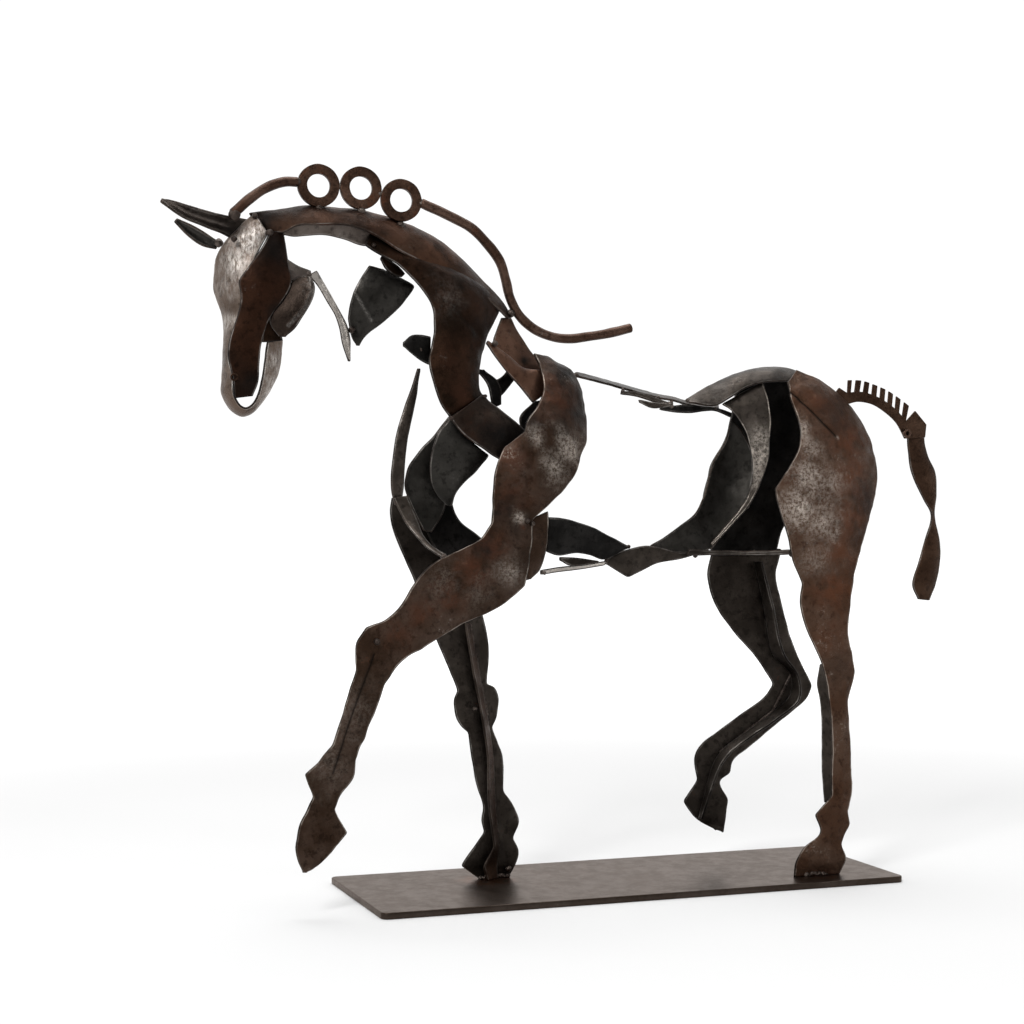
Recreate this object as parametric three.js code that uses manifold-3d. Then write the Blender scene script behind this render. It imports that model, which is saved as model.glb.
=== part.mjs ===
// Horse sculpture welded from scraps of sheet steel, with a mane of rings and bent rod,
// standing on a flat plate. Millimetres, +Z up. The origin is the middle of the plate's
// underside. The head points to -X, and -Y is the side that carries the near legs.
import * as THREE from 'three';
import { mergeVertices } from 'three/addons/utils/BufferGeometryUtils.js';
import Module from 'manifold-3d';

// Driving dimensions
const PLATE_LENGTH = 341;
const PLATE_WIDTH = 120;
const PLATE_THICKNESS = 4;
const PLATE_CORNER = 4.5;
const FIGURE_HEIGHT = 436;
const SHEET = 1.5;
const WELD_GAP = 0.3;
const ROD_DIAMETER = 6;
const ROD_SIDES = 5;
const ROD_STEPS = 26;
const RING_OUTER = 25.6;
const RING_BORE = 14;
const RING_THICKNESS = 3;
const RING_SIDES = 12;
const MANE_PLANE = -4;
const TAIL_PLANE = -14;
const COMB_TEETH = 8;
const NUT_SIDES = 3;
const NUT_OUTER = 5.6;
const NUT_BORE = 2.6;
const NUT_HEIGHT = 2.4;

// The scraps' corner points are drawn for a figure 436 high over the plate, and follow its height
const DRAWN_HEIGHT = 436;
const SHARE = FIGURE_HEIGHT / DRAWN_HEIGHT;
const FEET = PLATE_THICKNESS + WELD_GAP;

const place = (x, y, z) => new THREE.Vector3(x * SHARE, y * SHARE, FEET + z * SHARE);

// Each scrap is a list of stations along its length. A station holds the x, y, z of its left or
// lower edge, the x, y, z of its right or upper edge, and how far its middle bulges to the near
// side. An eighth value marks a sharp corner: 1 on the first edge, 2 on the second, 3 on both.
const HEAD_SCRAPS = {
  nose_plate: [
    [-235, -3, 402, -231, -6, 402, 0],
    [-249.5, 0, 387.5, -225.5, -10, 392, 3, 3],
    [-253.5, 5, 378.5, -231.5, -11, 381, 3],
    [-254, 9, 369, -237, -12, 368.5, 2.5],
    [-254, 9, 359.5, -238.5, -12, 359.5, 2],
    [-251.5, 8, 352, -238.5, -12, 350.5, 2],
    [-249, 7, 342.5, -241.5, -11, 341, 2],
    [-248.5, 6, 330, -247.5, -9, 327.5, 1.5],
    [-249.5, 5, 318, -248.5, -9, 317.5, 1],
    [-250.5, 4, 307, -246, -10, 308.5, 1],
    [-251, 3, 299.5, -246, -10, 298, 1],
    [-248, 2, 292, -244, -10, 293.5, 1],
    [-243.5, 1, 287, -241.5, -10, 290.5, 1],
    [-238.5, 0, 285, -238.5, -10, 289.5, 1],
    [-233, 0, 287, -234.5, -10, 292, 1],
    [-227, 0, 293.5, -231.5, -10, 298, 1],
    [-221.5, 0, 302.5, -230, -10, 304.5, 1],
    [-217, -1, 313, -228.5, -10, 313.5, 1],
    [-215.5, -2, 330.5, -226.5, -10, 328, 0],
  ],
  cheek_plate: [
    [-225.5, -12, 393, -216, -9, 392.5, 0],
    [-229.5, -14, 384.5, -215, -12, 379.5, 1.5],
    [-244.5, -14.5, 363, -213, -15, 362, 2.5, 1],
    [-243, -15, 351.5, -216.5, -16, 355, 2],
    [-245.5, -14, 340.5, -225, -15, 343, 2],
    [-249.5, -13, 328, -230, -14, 329.5, 1.5],
    [-250, -13, 318.5, -231.5, -14, 316.5, 1],
    [-247.5, -13, 307, -232.5, -13.5, 304, 1],
    [-246.5, -13, 295.5, -235, -12.5, 297, 0],
  ],
  cheek_disc: [
    [-209, -12, 366.5, -201.5, -17, 366.5, 0],
    [-215, -13, 361, -199.5, -18, 361, 1],
    [-220, -13, 352.5, -201.5, -19, 352.5, 2],
    [-226, -13, 344.5, -206.5, -19, 344, 2],
    [-225, -13, 338, -211.5, -18, 336, 1],
    [-220.5, -14, 332, -216.5, -17, 331.5, 0],
  ],
  jaw_bar: [
    [-216.5, -11, 362.5, -217, -11, 379, 0],
    [-211, -11, 364.5, -211.5, -10, 376, 0],
    [-206, -10.5, 366.5, -206.5, -9.5, 373.5, 0],
    [-200, -10, 368, -200.5, -9, 371.5, 0],
  ],
  throat_triangle: [
    [-226, -11, 342.5, -221, -11, 340.5, 0],
    [-229.5, -11, 335.5, -219, -11, 335.5, 0],
    [-230, -11, 328.5, -217, -11, 330, 0],
  ],
  throat_strip: [
    [-201, -9, 368, -195.5, -7, 371.5, 0],
    [-196, -9, 363, -190.5, -7, 363, 1],
    [-190, -9, 353.5, -185, -7, 354, 1],
    [-185, -9, 345.5, -180.5, -7, 346, 1],
    [-182.5, -9, 338, -176.5, -7, 338, 1],
    [-181, -9, 330, -175, -7, 330.5, 1],
    [-179, -9, 323.5, -175.5, -8, 324, 0.5],
    [-177, -9, 319, -176, -8.5, 319, 0],
  ],
  throat_plate: [
    [-163.5, -5, 376, -154, -5, 374, 0],
    [-168.5, -5, 368.5, -143, -6, 369, 2],
    [-172, -5, 362, -134.5, -7, 365, 3, 2],
    [-174.5, -4, 353.5, -142, -6, 354.5, 3],
    [-176, -3, 344, -152.5, -5, 344.5, 2, 1],
    [-173, -3, 332.5, -166, -4, 333.5, 1],
    [-170.5, -3, 329, -168.5, -3, 329, 0],
  ],
  near_ear: [
    [-289, -14, 406, -287.5, -13, 409, 0],
    [-276.5, -12, 398.5, -270.5, -10, 405.5, -2.5],
    [-265, -9, 395, -257.5, -7, 403, -3],
    [-254, -5, 392, -247, -3, 402, -3],
    [-243.5, 1, 389, -239, 2, 402, -1],
    [-235, 3, 387.5, -230.5, 3, 401, 0],
  ],
  far_ear: [
    [-276.5, 13, 399, -274.5, 13, 401.5, 0],
    [-267, 12, 390, -265.5, 11, 397.5, -2],
    [-260, 11, 385.5, -258, 10, 393, -2],
    [-253, 10, 384, -251, 10, 389, 0],
  ],
};

const NECK_SCRAPS = {
  neck_sheet: [
    [-167, -12, 387, -163, -9, 395, 0],
    [-159, -14, 382, -143.5, -8, 391, 1],
    [-149.5, -16, 377, -125.5, -7, 383.5, 3],
    [-140.5, -17, 369, -108, -6, 375.5, 5],
    [-132.5, -18, 360, -90.5, -6, 365.5, 6],
    [-127.5, -19, 350.5, -80.5, -6, 352.5, 7, 2],
    [-127, -20, 341.5, -87, -9, 342.5, 7],
    [-128.5, -21, 330.5, -92, -11, 332, 6],
    [-131, -22, 318.5, -95.5, -13, 320, 6],
    [-128.5, -23, 305.5, -97, -15, 309, 5],
    [-124, -24, 293, -96.5, -17, 301, 4],
    [-118, -23, 285, -92, -16, 297.5, 3],
    [-110.5, -21, 277, -87, -14, 292.5, 2],
  ],
  neck_base_band: [
    [-119, -26.5, 284.5, -97, -20.5, 299, 3],
    [-110.5, -27, 274.5, -90, -21, 294, 3],
    [-101.5, -27, 268.5, -82.5, -21, 288.5, 3],
    [-95, -27.5, 264, -75.5, -21.5, 283, 3],
    [-88, -28, 260, -68.5, -22, 277, 2],
    [-79, -28, 255.5, -62, -22, 270.5, 1],
  ],
  crest_band: [
    [-227.5, -3, 391, -234.5, 1, 405.5, 0],
    [-223, -8, 392.5, -228, -1, 406.5, 1],
    [-217, -13, 392.5, -220.5, -2, 407.5, 1.5],
    [-209.5, -15, 396.5, -202.5, -1, 410.5, 2],
    [-194.5, -15, 398, -186, 0, 410.5, 2],
    [-177.5, -15, 398, -167.5, 0, 410, 2],
    [-162, -15, 393, -152, 0, 407.5, 2],
    [-148.5, -15, 385, -138, 0, 403.5, 2.5],
    [-131, -15, 377.5, -119, 0, 395.5, 3],
    [-115, -14, 369.5, -104, 0, 385, 2.5],
    [-104.5, -13, 367, -92.5, 0, 374.5, 1],
    [-93.5, -12, 360.5, -84.5, -1, 366, 0],
    [-82, -10, 351.5, -75.5, -2, 355.5, 0],
    [-76.5, -8, 347.5, -72.5, -4, 349, 0],
  ],
  crest_lining: [
    [-216.5, -8, 391.5, -216.5, -9, 395.5, 0],
    [-205.5, -6, 391.5, -206.5, -9, 400, 0],
    [-192.5, -6, 393, -193, -9, 402, 0],
    [-178, -6, 391, -179, -9, 402, 0],
    [-166.5, -6, 387.5, -167.5, -9, 399, 0],
    [-159, -6, 389.5, -159.5, -9, 396, 0],
  ],
  crest_scrap: [
    [-157.5, -10, 379.5, -156, -10, 382, 0],
    [-154.5, -10, 374, -150.5, -10, 379, 0],
    [-148.5, -10, 370, -145.5, -9, 376, 0],
    [-144.5, -9, 370, -142, -9, 372.5, 0],
  ],
  neck_leaf: [
    [-143, -10, 328, -143, -10, 331, 0],
    [-138.5, -11, 324, -138.5, -11, 335, 1],
    [-133.5, -12, 320, -133.5, -12, 335.5, 1],
    [-128, -13, 317, -127.5, -13, 334.5, 0],
  ],
  wither_plate: [
    [-79, -4, 347.5, -71, 0, 348.5, 0],
    [-82.5, -6, 340.5, -68, -2, 341.5, 1],
    [-86, -9, 333, -63, -3, 333.5, 1.5],
    [-84, -11, 326, -57.5, -4, 325.5, 1.5],
    [-77.5, -12, 317, -51, -6, 318, 1],
    [-69, -14, 306, -46.5, -8, 310.5, 0],
  ],
  wither_flap: [
    [-93, -17, 330.5, -91, -15, 332.5, 0],
    [-89.5, -18, 325, -84, -15, 328, 1],
    [-85, -19, 319, -77, -16, 323, 1.5],
    [-79, -20, 311.5, -69.5, -17, 317, 1.5],
    [-73, -22, 304.5, -54, -18, 314, 1],
    [-66, -24, 295.5, -53.5, -19, 303, 0],
  ],
  inner_band: [
    [-96, -3, 316.5, -89.5, -3, 315.5, 0],
    [-88, -3, 307.5, -79.5, -3, 308, 0],
    [-84.5, -3, 293, -78.5, -3, 295.5, 0],
  ],
  inner_arm: [
    [-73, 0, 317, -67, 0, 312.5, 0],
    [-79, 0, 311, -72.5, 0, 305.5, 0],
    [-86, 0, 309, -77.5, 0, 300.5, 0],
  ],
  inner_strap: [
    [-60.5, -12, 296.5, -55, -10, 297, 0],
    [-70.5, -13, 286.5, -59.5, -10, 285, 0],
    [-69.5, -14, 278.5, -62, -11, 277, 0],
  ],
};

const LEG_SCRAPS = {
  near_foreleg: [
    [-61, -14, 325.5, -50.5, -10, 324.5, 0],
    [-59.5, -22, 314, -36, -14, 315.5, 3],
    [-60, -27, 304.5, -30.5, -18, 303, 4],
    [-64, -31, 295, -29.5, -21, 290.5, 5],
    [-73.5, -34, 283, -30, -25, 279.5, 6, 1],
    [-75.5, -35, 276.5, -31.5, -27, 272.5, 6, 1],
    [-88.5, -36, 267.5, -35.5, -30, 264.5, 6, 1],
    [-94.5, -38, 253.5, -41.5, -34, 252, 5],
    [-96.5, -39, 236.5, -58, -37, 235, 3, 2],
    [-97.5, -39, 222, -70.5, -39, 224, 2, 3],
    [-104.5, -39, 212.5, -71, -39, 211.5, 2],
    [-122, -39, 204.5, -72.5, -39, 199.5, 2],
    [-135.5, -39, 197.5, -75.5, -39, 184.5, 2, 2],
    [-146.5, -39, 185.5, -92, -39, 172.5, 2],
    [-154, -38, 173.5, -116.5, -38, 162, 2],
    [-162.5, -37, 166, -138, -37, 149.5, 1.5],
    [-174, -37, 162, -152, -37, 141, 1, 1],
    [-180, -37, 152, -160.5, -37, 131.5, 1],
    [-179.5, -36, 136.5, -164.5, -36, 120.5, 1, 1],
    [-194, -36, 93.5, -180, -36, 85, 1, 3],
    [-202, -36, 85, -180.5, -36, 75, 1],
    [-210.5, -36, 78, -188.5, -36, 64.5, 1, 1],
    [-205, -36, 64.5, -192, -36, 56.5, 1, 3],
    [-212, -36, 51, -185, -36, 43, 1, 2],
    [-215, -36, 39, -190.5, -36, 36, 1],
    [-214, -36, 28, -200, -36, 26.5, 1],
    [-211.5, -36, 22, -208.5, -36, 21.5, 0],
  ],
  far_foreleg: [
    [-143.5, 15, 237, -133, 15, 238.5, 0],
    [-144, 16, 229, -123.5, 16, 230, 0],
    [-142.5, 17, 220, -114, 17, 221, 0],
    [-135.5, 19, 203.5, -101, 19, 205, 0],
    [-128, 20, 187.5, -91, 20, 187, 1],
    [-112, 22, 148.5, -78.5, 22, 149, 1],
    [-98.5, 22, 117.5, -79.5, 22, 121, 1, 3],
    [-101, 22, 113, -74, 22, 119, 1],
    [-101, 22, 106.5, -71.5, 22, 113, 1],
    [-99.5, 22, 100, -71.5, 22, 106, 1],
    [-96, 22, 95, -73, 22, 99.5, 1],
    [-92, 22, 91.5, -76, 22, 94, 1, 3],
    [-90, 22, 78, -69, 22, 75.5, 1],
    [-86, 22, 57.5, -68.5, 22, 53.5, 1, 2],
    [-82, 22, 44, -60, 22, 41, 1],
    [-83, 22, 36.5, -58, 22, 34, 1],
    [-81, 22, 28.5, -62, 22, 24, 1, 3],
    [-90.5, 22, 16.5, -58, 22, 15.5, 1],
    [-96.5, 22, 8.5, -60.5, 22, 6.5, 1, 1],
    [-85, 22, 0, -64.5, 22, 0, 0],
  ],
  near_hind_leg: [
    [109, -22, 311.5, 119, -14, 320, 0],
    [108, -27, 300.5, 139.5, -15, 311.5, 3],
    [110.5, -33, 285, 160.5, -18, 292.5, 5],
    [109.5, -36, 272.5, 168.5, -22, 275, 6],
    [101, -38, 257.5, 171.5, -26, 254.5, 7],
    [90.5, -39, 243.5, 167.5, -30, 240, 7, 1],
    [93, -39, 231.5, 161.5, -33, 226.5, 6],
    [99, -39, 215, 155, -35, 210.5, 4],
    [102.5, -39, 199, 149, -37, 195, 3],
    [109.5, -39, 184, 145.5, -38, 179.5, 2, 1],
    [108, -39, 172.5, 143.5, -39, 167, 1.5],
    [111.5, -39, 157.5, 142, -39, 152, 1],
    [123, -39, 133, 147, -39, 128, 1],
    [128, -39, 112, 142, -39, 109.5, 1, 2],
    [130, -39, 91.5, 143, -39, 91, 1],
    [130, -39, 49, 144.5, -39, 50.5, 1, 1],
    [118.5, -39, 38, 141.5, -39, 39.5, 1, 3],
    [122, -39, 26.5, 143, -39, 31, 1, 2],
    [110, -39, 17, 137, -39, 18, 1],
    [105, -39, 9.5, 140.5, -39, 9, 1],
    [103, -39, 0, 135.5, -39, 0, 0],
  ],
  far_hind_leg: [
    [77, 24, 204.5, 127.5, 24, 204, 0],
    [74, 25, 188, 124, 25, 187, 1],
    [78.5, 26, 171.5, 128.5, 26, 169.5, 1],
    [92.5, 26, 151.5, 133.5, 26, 151, 1],
    [109.5, 26, 133.5, 141, 26, 132.5, 1],
    [122.5, 26, 115, 151.5, 26, 113, 1, 3],
    [117.5, 26, 108, 147, 26, 104.5, 1],
    [98.5, 26, 95.5, 127.5, 26, 90, 1],
    [82.5, 26, 85.5, 105.5, 26, 74, 1],
    [68.5, 26, 75.5, 93, 26, 65.5, 1],
    [65, 26, 66.5, 91, 26, 57.5, 1, 2],
    [67.5, 26, 54, 83.5, 26, 52, 1, 1],
    [57, 26, 40.5, 89.5, 26, 40, 1, 3],
    [63.5, 26, 31.5, 88, 26, 29, 1],
    [69.5, 26, 26.5, 87, 26, 22, 0],
    [80, 26, 21, 86.5, 26, 19, 0],
  ],
  elbow_plate: [
    [-75.5, -36, 222.5, -59, -33, 229, 0],
    [-77, -36, 212.5, -59, -33, 218.5, 1],
    [-77.5, -36, 201.5, -60.5, -33, 204.5, 1],
    [-76.5, -36, 193.5, -64.5, -33, 193.5, 1],
    [-75, -36, 188.5, -70.5, -34, 189, 0],
  ],
  far_shoulder: [
    [-117, 6, 273.5, -99, 6, 266, 0],
    [-119.5, 7, 255, -95, 7, 255, 0],
    [-119, 8, 243.5, -105.5, 8, 244, 0],
    [-122.5, 9, 233.5, -106, 9, 234, 0],
    [-124.5, 9, 222, -101, 10, 223.5, 0],
    [-120.5, 10, 212, -88.5, 12, 214.5, 0],
    [-109.5, 14, 196, -75, 15, 202, 0],
    [-94.5, 17, 172.5, -76.5, 17, 174.5, 0],
  ],
  far_haunch: [
    [84.5, 4, 307, 122.5, 1, 317.5, 0],
    [84, 6, 301.5, 123.5, 2, 312.5, 0],
    [83, 8, 291.5, 128.5, 4, 304.5, -2],
    [80, 12, 274.5, 136.5, 8, 283, -4],
    [71.5, 14, 259.5, 144, 12, 260, -6],
    [69, 16, 246.5, 145.5, 15, 244, -6],
    [67, 17, 237, 142, 17, 230.5, -5],
    [71, 19, 217.5, 127, 19, 219.5, -3],
    [74.5, 20, 201, 121.5, 20, 201, -1],
  ],
};

// Narrow plates that stand square on the legs and stiffen them
const LEG_FINS = {
  far_foreleg_fin: [
    [-96.5, 13, 160, -91.5, 19.4, 159.5, 0],
    [-92.5, 13, 135.5, -86.5, 19.4, 134.5, 0],
    [-86, 13, 102.5, -80.5, 19.4, 103, 0],
    [-82, 13, 76.5, -76, 19.4, 74, 0],
    [-81.5, 13, 50, -75, 19.4, 49, 0],
    [-77.5, 13, 20.5, -72.5, 19.4, 19.5, 0, 1],
    [-85, 13, 8.5, -73.5, 19.4, 8, 0, 1],
    [-82, 14, 0, -73, 19.4, 0, 0],
  ],
  near_hind_fin: [
    [126.5, -31, 131.5, 127, -37.5, 133, 0],
    [126, -28, 119, 131, -37.5, 116.5, 0],
    [128, -28, 109.5, 133, -37.5, 107.5, 0],
    [129.5, -28, 89.5, 134.5, -37.5, 90.5, 0],
    [129.5, -28, 64.5, 134.5, -37.5, 65.5, 0],
    [129.5, -31, 44.5, 133, -37.5, 46.5, 0],
  ],
  far_hind_fin: [
    [107.5, 23.4, 195.5, 108.5, 14, 196, 0],
    [114, 23.4, 168, 117, 15, 168, 0],
    [121, 23.4, 134.5, 125.5, 15, 135, 0],
    [134, 23.4, 121.5, 136, 15, 120.5, 0],
    [134, 23.4, 108.5, 136.5, 15, 105, 0],
    [121, 23.4, 96.5, 120.5, 15, 93, 0],
    [102.5, 23.4, 85, 101.5, 15, 82, 0],
    [83, 23.4, 72, 84, 15, 70, 0],
    [77, 23.4, 63, 78.5, 15, 62, 0],
    [72, 23.4, 46.5, 72.5, 16, 47, 0],
    [67, 23.4, 29.5, 68.5, 20, 30, 0],
  ],
};

const BODY_SCRAPS = {
  chest_blade: [
    [-133, -5, 315, -131, -5, 315, 0],
    [-136.5, -5, 305, -132.5, -5, 304.5, 0],
    [-140, -5, 295.5, -134, -5, 295, 0.5],
    [-145, -5, 280.5, -137.5, -5, 280, 1],
    [-148, -5, 265.5, -140, -5, 265.5, 1],
    [-149.5, -5, 242.5, -141.5, -5, 242.5, 0.5],
    [-147.5, -5, 234, -143, -5, 232, 0],
  ],
  chest_leaf: [
    [-149.5, -9, 237, -140, -9, 238, 0],
    [-142.5, -15, 221, -135, -15, 222, 0.5],
    [-137.5, -20, 213.5, -133.5, -20, 214.5, 0.5],
    [-133.5, -26, 207.5, -130, -26, 208.5, 0.5],
    [-127, -33, 202, -124, -33, 204, 0],
  ],
  chest_inner_band: [
    [-111, 2, 287.5, -105.5, 0, 283, 0],
    [-118.5, 3, 277.5, -109, 1, 270, 0],
    [-129, 4, 266, -112.5, 2, 256, 1],
    [-136.5, 5, 255, -113.5, 3, 245.5, 1],
    [-137.5, 6, 243, -112, 4, 237, 1],
    [-132, 7, 230, -113, 5, 229, 0],
    [-125.5, 7, 218, -120, 6, 217, 0],
  ],
  chest_band: [
    [-116, -17, 285.5, -108, -19, 275, 0],
    [-123.5, -15, 276, -96.5, -19, 266.5, 2],
    [-126, -13, 266.5, -91, -18, 263, 3, 2],
    [-127, -11, 255.5, -98, -16, 254.5, 3],
    [-125.5, -9, 246, -107, -14, 245.5, 2],
    [-121.5, -8, 239, -111.5, -12, 239, 1],
    [-115.5, -7, 233.5, -112, -9, 233, 0],
  ],
  croup_ribbon: [
    [45.5, -10, 298, 46, -4, 300.5, 0],
    [59.5, -16, 296, 59, -4, 308.5, 1],
    [70, -19, 301.5, 77, -4, 316.5, 3],
    [78.5, -20, 307, 95, -4, 321.5, 3],
    [91, -20, 311, 109, -4, 322.5, 2],
    [108.5, -18, 312.5, 121, -5, 321, 1],
    [119.5, -14, 314, 126, -8, 318, 0],
  ],
  back_ribbon: [
    [-34, -12, 313, -29, -4, 315.5, 0],
    [-9, -11, 308, -4, 1, 311, 0],
    [21.5, -10, 301, 28, 2, 303.5, 0],
    [34, -8, 299.5, 38.5, 2, 302, 0],
    [46.5, -1, 297.5, 50, 6, 300, 0],
    [71, 2, 294.5, 74.5, 10, 298, 0],
  ],
  back_strip: [
    [-4, -15, 302, -3, -15, 304, 0],
    [7.5, -15, 300.5, 7.5, -14, 304, 0],
    [19.5, -14, 297.5, 19.5, -13, 300.5, 0],
    [30.5, -13, 295.5, 31.5, -12, 297, 0],
  ],
  back_leaf: [
    [7.5, -18, 297, 7, -18, 298.5, 0],
    [15, -18, 293.5, 16, -18, 297.5, 1],
    [28.5, -17, 295, 29, -17, 296.5, 0],
  ],
  back_under_strip: [
    [26.5, -6, 293.5, 28, -6, 295.5, 0],
    [35, -6, 292, 35, -6, 296, 0],
    [44, -7, 291.5, 44, -7, 297, 0],
    [64.5, -8, 293, 64.5, -8, 295, 0],
    [74.5, -8, 289, 75, -8, 292.5, 0],
  ],
  flank_crescent: [
    [66.5, -13, 297, 93.5, -17, 311.5, 0],
    [72, -14, 293.5, 94.5, -22, 300.5, 2],
    [80.5, -14, 283.5, 95.5, -24, 287, 2],
    [85.5, -14, 271.5, 95, -23, 273.5, 1.5],
    [88, -13, 259, 95.5, -20, 261.5, 1],
    [88.5, -11, 248, 92, -15, 246.5, 0.5],
    [85, -9, 237, 88, -11, 235, 0],
    [76, -8, 225, 78, -9, 223, 0],
    [61, -8, 209, 62, -9, 207.5, 0],
  ],
  flank_ribbon: [
    [80, 2, 289, 86, -2, 280.5, 0],
    [76, 3, 275, 92, -3, 270, -2],
    [67.5, 4, 260.5, 94, -3, 257.5, -4],
    [64, 4, 248, 92.5, -3, 245.5, -4],
    [60.5, 3, 238, 88, -3, 233, -3],
    [53, 0, 227.5, 79, -4, 222, -2],
    [42, -3, 220.5, 69, -5, 212, -1],
    [30.5, -5, 213.5, 62.5, -6, 205.5, -1],
    [19.5, -7, 208, 31.5, -7, 203.5, 0],
  ],
  belly_panel: [
    [-57, -26, 204.5, -56.5, -28, 226, 0],
    [-48, -22, 202, -48, -24, 225.5, 2],
    [-36.5, -18, 203.5, -37, -21, 223, 3],
    [-25.5, -16, 202.5, -25, -18, 220, 3],
    [-16, -14, 199.5, -12.5, -15, 214.5, 2],
    [1, -12, 206, 2, -12, 208, 0],
  ],
  belly_tab: [
    [-42.5, -10, 199, -42.5, -10, 201, 0],
    [-37, -9, 196, -34, -9, 201, 0],
    [-22, -9, 195.5, -16, -9, 198.5, 0],
  ],
  belly_strip: [
    [-62.5, -30, 191, -62.5, -30, 194, 0],
    [-48.5, -25, 192.5, -48.5, -25, 195.5, 0],
    [-35.5, -21, 193.5, -35.5, -21, 196, 0],
    [-15.5, -16, 196, -15.5, -16, 198.5, 0],
  ],
  belly_diamond: [
    [-12.5, -11, 196.5, -13, -11, 199, 0],
    [-5.5, -11, 192.5, -6, -11, 203, 1],
    [2.5, -11, 188, 4, -11, 206, 3, 1],
    [11.5, -11, 192, 15, -11, 208, 2],
    [21.5, -11, 196.5, 25.5, -11, 206.5, 1],
    [37.5, -11, 199, 39.5, -11, 203.5, 0],
    [53.5, -11, 203, 54.5, -11, 205, 0],
  ],
  belly_tie: [
    [41, -14, 201.5, 43.5, -14, 205.5, 0],
    [70.5, -19, 201.5, 70.5, -19, 204.5, 0],
    [89.5, -26, 201.5, 88, -26, 204.5, 0],
    [103, -35, 202, 103, -35, 205.5, 0],
  ],
  tail_leaf: [
    [201.5, -11.5, 283, 214.5, -11.5, 283.5, 0],
    [201.5, -11.5, 275.5, 215, -11.5, 275, 1],
    [202, -12, 268, 217, -12, 266, 2],
    [203.5, -12, 257, 222.5, -12, 255.5, 2],
    [213.5, -12, 237, 223.5, -12, 240, 1],
    [219, -13, 227, 222.5, -11, 227, 0],
    [215, -12, 211.5, 225.5, -12, 212, 1],
    [209, -12, 193.5, 226.5, -12, 199.5, 2],
    [205, -12, 180.5, 223, -12, 181, 2],
    [209, -12, 172, 218.5, -12, 171, 0],
  ],
};

// The comb on the tail: its lower edge and tooth tips from the croup down, the square block at its
// end and the hook at its start
const COMB_ROOT = [[155, 298.5], [163.5, 300.5], [174, 299], [183.5, 294], [192, 287], [198, 277]];
const COMB_TIPS = [[156, 314.5], [166, 314.5], [175.5, 312], [185, 308.5], [194, 303.5], [203, 297.5]];
const COMB_BLOCK = [[213.5, 278], [214.5, 286.5], [206, 295.5]];
const COMB_HOOK = [[149.5, 309.5], [147.5, 307]];
const COMB_TOOTH_SHARE = 0.58;
const COMB_GAP_DEPTH = 0.48;

// Mane: the three rings stand on the crest band, each a ring's width along from the one before
const FIRST_RING = [-194, 409.9];
const RING_SLOPES = [0, -13.5];
const FRONT_ROD = [[-246, -9, 403], [-235, -7, 413], [-224, -5, 420.5], [-213.5, -4, 424]];
const REAR_ROD = [
  [-114, -4, 409.5], [-98, -4, 402], [-87, -4, 392], [-79.5, -4, 382], [-76, -4, 371.5],
  [-73.5, -4, 361.5], [-68, -4, 351], [-60, -4, 343.5], [-49.5, -4, 338.5], [-37.5, -4, 336.5],
  [-20, -4, 338.5], [-6.5, -4, 341], [7, -4, 344.5],
];
const TAIL_NUT = [198.5, 280.5];

const wasm = await Module();
wasm.setup();

// Turns a closed geometry into a solid that can be joined and cut
function toSolid(geometry) {
  const bare = new THREE.BufferGeometry();
  bare.setAttribute('position', geometry.getAttribute('position').clone());
  if (geometry.index) bare.setIndex(geometry.index.clone());
  const merged = mergeVertices(bare, 1e-4);
  const vertProperties = new Float32Array(merged.getAttribute('position').array);
  const triVerts = new Uint32Array(merged.index.array);
  return new wasm.Manifold(new wasm.Mesh({ numProp: 3, vertProperties, triVerts }));
}

function toGeometry(solid) {
  const { vertProperties, triVerts, numProp } = solid.getMesh();
  const positions = [];
  for (let i = 0; i < vertProperties.length; i += numProp) {
    positions.push(vertProperties[i], vertProperties[i + 1], vertProperties[i + 2]);
  }
  const geometry = new THREE.BufferGeometry();
  geometry.setAttribute('position', new THREE.Float32BufferAttribute(positions, 3));
  geometry.setIndex(Array.from(triVerts));
  return geometry;
}

// Where a cut parts a scrap, the largest piece is the scrap and the slivers are dropped
function largestBody(geometry) {
  const index = geometry.index.array;
  const position = geometry.getAttribute('position');
  const parent = Array.from({ length: position.count }, (_, i) => i);
  const root = (i) => {
    while (parent[i] !== i) {
      parent[i] = parent[parent[i]];
      i = parent[i];
    }
    return i;
  };
  for (let t = 0; t < index.length; t += 3) {
    parent[root(index[t])] = root(index[t + 1]);
    parent[root(index[t])] = root(index[t + 2]);
  }
  const volumes = new Map();
  const corner = (i) => new THREE.Vector3().fromBufferAttribute(position, i);
  for (let t = 0; t < index.length; t += 3) {
    const body = root(index[t]);
    const volume = corner(index[t]).dot(corner(index[t + 1]).cross(corner(index[t + 2]))) / 6;
    volumes.set(body, (volumes.get(body) || 0) + volume);
  }
  const largest = [...volumes.keys()].reduce((a, b) => (volumes.get(a) > volumes.get(b) ? a : b));
  const kept = [];
  for (let t = 0; t < index.length; t += 3) {
    if (root(index[t]) === largest) kept.push(index[t], index[t + 1], index[t + 2]);
  }
  const result = new THREE.BufferGeometry();
  result.setAttribute('position', position.clone());
  result.setIndex(kept);
  return mergeVertices(result, 1e-4);
}

// The slope of an edge at one of its points. A sharp corner has one slope on each side.
function slope(points, i, side, sharp) {
  const before = i > 0 ? points[i].clone().sub(points[i - 1]) : null;
  const after = i < points.length - 1 ? points[i + 1].clone().sub(points[i]) : null;
  if (before) before.divideScalar(Math.max(before.length(), 0.01));
  if (after) after.divideScalar(Math.max(after.length(), 0.01));
  if (!before) return after;
  if (!after) return before;
  if (sharp) return side < 0 ? before : after;
  return before.add(after).multiplyScalar(0.5);
}

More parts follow.
